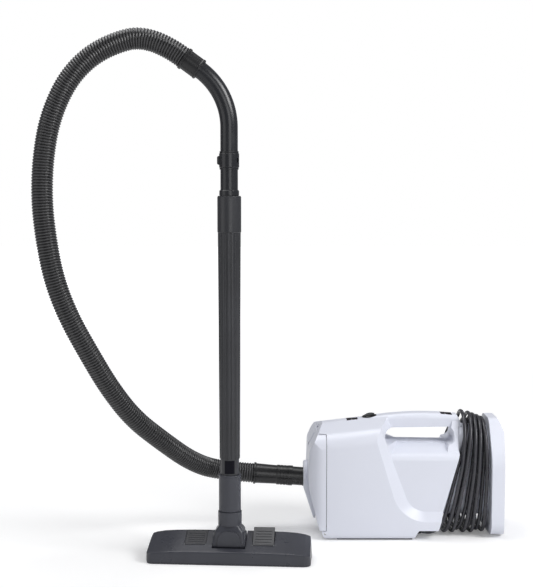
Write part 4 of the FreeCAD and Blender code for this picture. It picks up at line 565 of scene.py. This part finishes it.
def winding_points(turns):
    """Points of the wound cord: squarish loops whose middle travels along the neck and back.

    Upness runs from 0 at the bottom of a loop to 1 at its top. It blends the wide row of
    bottoms into the narrow row of tops, and lets the strays grow towards the bottom.
    """
    second = np.clip((turns - winding_turns + 0.25) / 0.5, 0.0, 1.0)
    even = turns - 0.06 * np.sin(4.0 * math.pi * (turns - 0.25))
    across = np.where(even <= winding_turns, even, 2.0 * winding_turns - even) / winding_turns
    angle = 2.0 * math.pi * turns
    side, up = squarish(angle, np.where(np.sin(angle) > 0.0, top_power, low_power))
    upness = (1.0 + up) / 2.0
    crown = np.clip(up, 0.0, 1.0)
    loose = 1.0 - 0.85 * upness ** 2
    lean = first_lean * second * np.clip(1.0 - across, 0.0, 1.0) ** 6 * crown ** 3
    shift = second_shift * second * np.clip(0.4 + 2.0 * across, 0.0, 1.0) * (1.0 - upness) ** 2
    rise = (0.004 * (1.0 - across) + (0.008 - 0.0115 * across) * second) * crown ** 2
    x = between((between(low_x, across) - shift, between(top_x, across)), upness)
    wide = between(half_wide, second) * (1.0 + low_spread * (1.0 - upness) ** 2)
    tall = np.where(up > 0.0, between(half_high, second), between(half_low, second))
    return np.stack([x - lean + stray_along * loose * wobbled(0, turns),
                     -(wide + stray_out * loose * wobbled(1, turns)) * side,
                     winding_mid_z + tall * up + rise], axis=1)


lead_points = np.array([(0.088, -0.058, 0.0102), (0.098, -0.0585, 0.0078), (0.111, -0.0610, 0.0096),
                        (0.1240, -0.0625, 0.0200), (0.1320, -0.0625, 0.0380), (0.1400, -0.0615, 0.0650)])
turn_marks = np.arange(0.0, 2.0 * winding_turns - 0.15, 1.0 / points_per_turn)
wound = winding_points(turn_marks)
plug_x = winding_points(np.array([2.0 * winding_turns]))[0, 0]
tail = np.array([(plug_x, 0.078, 0.175), (plug_x, 0.0845, 0.150), (plug_x, 0.085, 0.128),
                 (plug_x, 0.085, 0.118)])
cord_points = np.concatenate([lead_points, wound, tail]) + machine
cord_rubber = plastic("cord_rubber", (0.036, 0.036, 0.043), 0.28, 1600.0, 0.00002, 0.08, 0.0)
mains_cord = spline_curve("mains_cord", cord_points, cord_d / 2)
mains_cord.data.materials.append(cord_rubber)
_, cord_length = sampled(cord_points, 0.004)
dress(cord_rubber, "power_plug")
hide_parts("power_cord_lead", "power_cord_winding")
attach(mains_cord, "machine")
print("cord:", round(cord_length, 2), "m")

# %% [markdown]
# The hose is a thin corrugated tube. Its route is a list of points along
# the real hose: straight out of the machine, back behind the wand, up in one large bow
# and over into the handle. The ribs are a radius that rises and falls along the route.
# The outer wall is one set of rings, the smooth bore another, and together they close
# into a tube with a real wall. The height of each point above the valleys is kept as a
# value on the mesh, and the finish reads it: crests get a painted highlight, a lighter
# grey, and valleys get painted shade, near black.

# %% Route of the hose
hose_end_way = np.array([0.0767, 0.0, -0.0561])
hose_end_way /= np.linalg.norm(hose_end_way)
inlet_tilt = math.radians(4.0)
inlet_way = np.array([-math.cos(inlet_tilt), 0.0, math.sin(inlet_tilt)])
hose_start = np.array([-0.131, 0.0, 0.1005]) + 0.095 * inlet_way + machine
hose_end = np.array([-0.2567, -0.1175, 0.8689])
bow = np.array([(-258, 42, 138), (-308, -8, 187), (-357, -42, 235), (-396, -68, 295), (-428, -88, 358),
                (-461, -102, 424), (-484, -111, 490), (-496, -116, 561), (-502, -119, 630),
                (-498, -119, 705), (-484, -118, 774), (-450, -117.5, 842), (-395, -117.5, 888)]) / 1000.0
hose_points = np.concatenate([[hose_start, hose_start + 0.069 * inlet_way], bow,
                              [hose_end - 0.070 * hose_end_way, hose_end]])
hose_line, hose_length = sampled(hose_points, 0.0006)
print("hose:", round(hose_length, 2), "m")

# %% Finish of the hose
hose_black, tree, shader, where = new_material("hose_black")
crest = tree.nodes.new("ShaderNodeAttribute")
crest.attribute_name = "height"
# Painted highlight and painted shade: the crests of the ribs get a lighter grey, the valleys near black.
crest_highlight_valley_shade = ramp(tree, crest.outputs["Fac"], [(0.35, (0.002, 0.002, 0.002)), (0.95, (0.048, 0.048, 0.051))])
tree.links.new(crest_highlight_valley_shade, shader.inputs["Base Color"])
dusty = ramp(tree, noise(tree, where, 40.0), [(0.35, 0.20), (0.65, 0.32)])
tree.links.new(dusty, shader.inputs["Roughness"])
bumped(tree, shader, noise(tree, where, 1300.0, 2.0), 0.00002)

# %% Ribbed hose
rib_steps, hose_sides, bore_rings = 8, 28, 360


def hose_rings(share, radius):
    """Circles of the given radii round the route, at shares of its length."""
    place = share * (len(hose_line) - 1)
    middle = np.stack([np.interp(place, np.arange(len(hose_line)), hose_line[:, axis])
                       for axis in range(3)], axis=1)
    _, side_a, side_b = side_frame(hose_line, np.array([0.0, 1.0, 0.0]))
    pick = np.round(place).astype(int)
    turn = np.linspace(0.0, 2.0 * math.pi, hose_sides, endpoint=False)
    circle = (np.cos(turn)[None, :, None] * side_a[pick][:, None, :]
              + np.sin(turn)[None, :, None] * side_b[pick][:, None, :])
    return middle[:, None, :] + radius[:, None, None] * circle


along = np.linspace(0.0, 1.0, hose_ribs * rib_steps + 1)
wave = (0.5 - 0.5 * np.cos(2.0 * math.pi * along * hose_ribs)) ** 0.6
outer = hose_rings(along, hose_valley_d / 2 + (hose_d - hose_valley_d) / 2 * wave)
back = np.linspace(1.0, 0.0, bore_rings)
bore = hose_rings(back, np.full(bore_rings, hose_bore_d / 2))
height = np.concatenate([np.repeat(wave, hose_sides), np.zeros(bore_rings * hose_sides)])
hose = grid_piece("ribbed_hose", [np.concatenate([outer, bore])], hose_black, ring=True, values=height)
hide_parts("hose")
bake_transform(hose)
print("hose ribs:", hose_ribs, "faces:", len(hose.data.polygons))

# %% [markdown]
# The dust bag fills the chamber behind the front cover. A real one is a paper box with
# side folds that air has pushed out: full in the middle of each face, creased where it
# was folded. Here it is one closed surface. Its rows start inside the round mouth, come
# out over the front face, run back along the sides and close at the rear. Between mouth
# and sides the rows blend from a circle to a rounded square. The side folds are a
# narrowing at half height, and sums of slanted waves give the creases of paper.

# %% Dust bag
bag_low, bag_high = (np.array(corner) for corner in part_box("dust_bag"))
bag_middle, bag_size = (bag_low + bag_high) / 2, (bag_high - bag_low) / 2
mouth_z, mouth_radius = 0.1017, 0.0170
paper_colour = (0.58, 0.50, 0.38)


def bag_profile():
    """Rows of the bag: place along it from 0 to 1, share of the square outline, and its size."""
    rows = [(0.22, 0.0, 0.80), (0.10, 0.0, 0.95), (0.004, 0.0, 1.0)]
    rows += [(0.0, share, 0.84) for share in np.linspace(0.12, 1.0, 10)]
    rows += [(0.05 - 0.05 * math.cos(turn), 1.0, 0.84 + 0.15 * math.sin(turn))
             for turn in np.linspace(0.2, math.pi / 2, 6)]
    rows += [(share, 1.0, 0.99) for share in np.linspace(0.07, 0.93, 70)]
    rows += [(0.95 + 0.05 * math.sin(turn), 1.0, 0.84 + 0.15 * math.cos(turn))
             for turn in np.linspace(0.2, math.pi / 2, 6)]
    rows += [(1.0, 1.0, size) for size in np.linspace(0.76, 0.04, 10)]
    return np.array(rows).T


def bag_points(columns=180):
    """Points of the bag's skin, creased and folded, inside its box."""
    share, square, size = bag_profile()
    turn = np.linspace(0.0, 2.0 * math.pi, columns, endpoint=False)
    side, up = squarish(turn, 7.0)
    fold = 1.0 - 0.11 * np.exp(-(up[None, :] / 0.22) ** 2) * np.sin(math.pi * share)[:, None] ** 0.4
    y_square = side[None, :] * bag_size[1] * size[:, None] * np.where(np.abs(side) > 0.9, fold, 1.0)
    z_square = up[None, :] * bag_size[2] * size[:, None] + bag_middle[2]
    y_round = mouth_radius * size[:, None] * np.cos(turn)[None, :]
    z_round = mouth_z + mouth_radius * size[:, None] * np.sin(turn)[None, :]
    blend = square[:, None]
    rng = np.random.default_rng(5)
    crease = np.zeros((share.size, columns))
    for _ in range(14):
        crease += np.abs(np.sin(rng.uniform(4, 30) * share[:, None] + rng.integers(2, 12) * turn[None, :]
                                + rng.uniform(0, 6))) - 0.64
    shrink = 1.0 - 0.006 * np.abs(crease) * blend
    x = bag_low[0] + (bag_high[0] - bag_low[0]) * share[:, None] + 0.0 * turn[None, :]
    x = bag_middle[0] + (x - bag_middle[0]) * (1.0 - 0.004 * np.abs(crease) * blend)
    y = ((1.0 - blend) * y_round + blend * y_square) * shrink + bag_middle[1]
    z = ((1.0 - blend) * z_round + blend * z_square - bag_middle[2]) * shrink + bag_middle[2]
    return np.stack([x, y, z], axis=-1)


bag_paper, tree, shader, where = new_material("bag_paper")
fibres = noise(tree, stretched(tree, where, (1.0, 1.0, 0.25)), 900.0, 4.0, 0.7)
dark, light = shades(paper_colour, 0.13)
tree.links.new(ramp(tree, fibres, [(0.3, dark), (0.7, light)]), shader.inputs["Base Color"])
shader.inputs["Roughness"].default_value = 0.85
bumped(tree, shader, fibres, 0.00010)
dust_bag = grid_piece("paper_dust_bag", [bag_points()], bag_paper)
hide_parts("dust_bag")
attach(dust_bag, "machine")
print("bag faces:", len(dust_bag.data.polygons))

# %% [markdown]
# Two foam filters sit behind the bag chamber and in the exhaust. Foam is soft at its
# edges and open at its surface. Each pad is a squarish body whose outline and thickness
# both follow the squarish loop, so its rims are round, with a slight crown in the middle
# of each face. The finish has cells as bump, and painted shade darkens their pits.

# %% Foam filters
def pad_points(low, high, thin, outline, rim=6.0, crown=0.0006, rows=40, columns=96):
    """Points of a pad in a box: a squarish outline, scaled row by row round a squarish rim."""
    middle, half = (low + high) / 2, (high - low) / 2
    wide, tall = [axis for axis in range(3) if axis != thin]
    turn = np.linspace(0.0, 2.0 * math.pi, columns, endpoint=False)
    side, up = squarish(turn, outline)
    swing = np.linspace(-math.pi / 2 + 0.004, math.pi / 2 - 0.004, rows)
    size, level = squarish(swing, rim)
    grid = np.empty((rows, columns, 3))
    grid[..., wide] = middle[wide] + half[wide] * size[:, None] * side[None, :]
    grid[..., tall] = middle[tall] + half[tall] * size[:, None] * up[None, :]
    puff = crown * (1.0 - size ** 2)[:, None]
    grid[..., thin] = middle[thin] + (half[thin] - crown + puff) * level[:, None]
    return grid


def foam(name, colour):
    """Open foam: cells as bump, and painted shade that darkens their pits."""
    made, made_tree, shader, where = new_material(name)
    cells = made_tree.nodes.new("ShaderNodeTexVoronoi")
    cells.inputs["Scale"].default_value = 620.0
    made_tree.links.new(where, cells.inputs["Vector"])
    # Painted shade: the colour darkens in the pits of the cells, where the bump sinks.
    dark, light = shades(colour, 0.45)
    made_tree.links.new(ramp(made_tree, cells.outputs["Distance"], [(0.12, dark), (0.5, light)]),
                        shader.inputs["Base Color"])
    shader.inputs["Roughness"].default_value = 0.95
    bumped(made_tree, shader, cells.outputs["Distance"], 0.0006)
    return made


for node_name, slot_name, colour, outline in (("motor_filter", "foam_grey", (0.10, 0.105, 0.115), 14.0),
                                              ("exhaust_filter", "foam_blue", (0.07, 0.10, 0.16), 3.4)):
    low, high = (np.array(corner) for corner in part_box(node_name))
    pad = grid_piece(node_name + "_foam", [pad_points(low, high, 0, outline)], foam(slot_name, colour))
    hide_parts(node_name)
    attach(pad, "machine")
    print(pad.name, np.round((high - low) * 1000.0, 1).tolist(), "mm")

# %% [markdown]
# Under the floor tool a row of nylon tufts sweeps hard floors. A tuft is two dozen
# hairs. Each hair is a thin three-sided spike of three rings that leans outwards a
# little, and all hairs are computed at once as one array: tufts, hairs, rings, sides.

# %% Brush bristles
tufts, hairs, hair_rings, hair_sides = 38, 24, 3, 3
brush_half, brush_v, root_z = 0.118, -0.0366, 0.0112
rng = np.random.default_rng(3)
tuft_u = np.linspace(-brush_half + 0.006, brush_half - 0.006, tufts)
spread = 0.00125 * np.sqrt(rng.uniform(0.0, 1.0, (tufts, hairs)))
turn = rng.uniform(0.0, 2.0 * math.pi, (tufts, hairs))
offset = np.stack([spread * np.cos(turn), spread * np.sin(turn)], axis=-1)
drop = np.linspace(0.0, 1.0, hair_rings)
tip_z = 0.0008 + 0.0006 * rng.uniform(0.0, 1.0, (tufts, hairs))
ring_turn = np.linspace(0.0, 2.0 * math.pi, hair_sides, endpoint=False)
thick = 0.00012 * (1.0 - 0.5 * drop)
lean = 1.0 + 0.55 * drop ** 2
hair = np.empty((tufts, hairs, hair_rings, hair_sides, 3))
hair[..., 0] = (tuft_u[:, None, None, None] + offset[..., 0][:, :, None, None] * lean[:, None]
                + thick[:, None] * np.cos(ring_turn))
hair[..., 1] = (brush_v + offset[..., 1][:, :, None, None] * lean[:, None]
                + thick[:, None] * np.sin(ring_turn))
hair[..., 2] = (root_z - (root_z - tip_z[..., None]) * drop)[..., None]
nylon = plastic("bristle_nylon", (0.020, 0.020, 0.022), 0.35, 2000.0, 0.00001, 0.2, 0.0)
spikes = [on_tool(spike) for spike in hair.reshape(-1, hair_rings, hair_sides, 3)]
bristles = grid_piece("nylon_bristles", spikes, nylon)
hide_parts("brush_bristles")
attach(bristles, "brush_bar")
print("hairs:", len(spikes))

# %% [markdown]
# Two strips of short pile in the sole pick up lint. A strip is a flat pad with rounded
# rims, and its pile is a finish: fine slanted noise in the bump and the colour, with the
# sheen that velvet shows where one looks along it.

# %% Lint strips
strip_v, strip_wide, strip_long = -0.0170, 0.0054, 0.0894
velvet, tree, shader, where = new_material("lint_velvet")
pile = noise(tree, stretched(tree, where, (1.0, 0.35, 1.0)), 2600.0, 3.0)
tree.links.new(ramp(tree, pile, [(0.3, (0.030, 0.006, 0.008)), (0.7, (0.110, 0.022, 0.028))]),
               shader.inputs["Base Color"])
shader.inputs["Roughness"].default_value = 0.9
shader.inputs["Sheen Weight"].default_value = 0.6
bumped(tree, shader, pile, 0.00025)
strips = []
for strip_u in (-0.057, 0.057):
    middle = np.array([strip_u, strip_v, 0.00075])
    half = np.array([strip_long / 2, strip_wide / 2, 0.00045])
    strips.append(on_tool(pad_points(middle - half, middle + half, 2, 10.0, 4.0, 0.0001)))
lint = grid_piece("lint_pile", strips, velvet)
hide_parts("lint_strips")
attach(lint, "floor_nozzle")
print("lint strips:", len(strips))
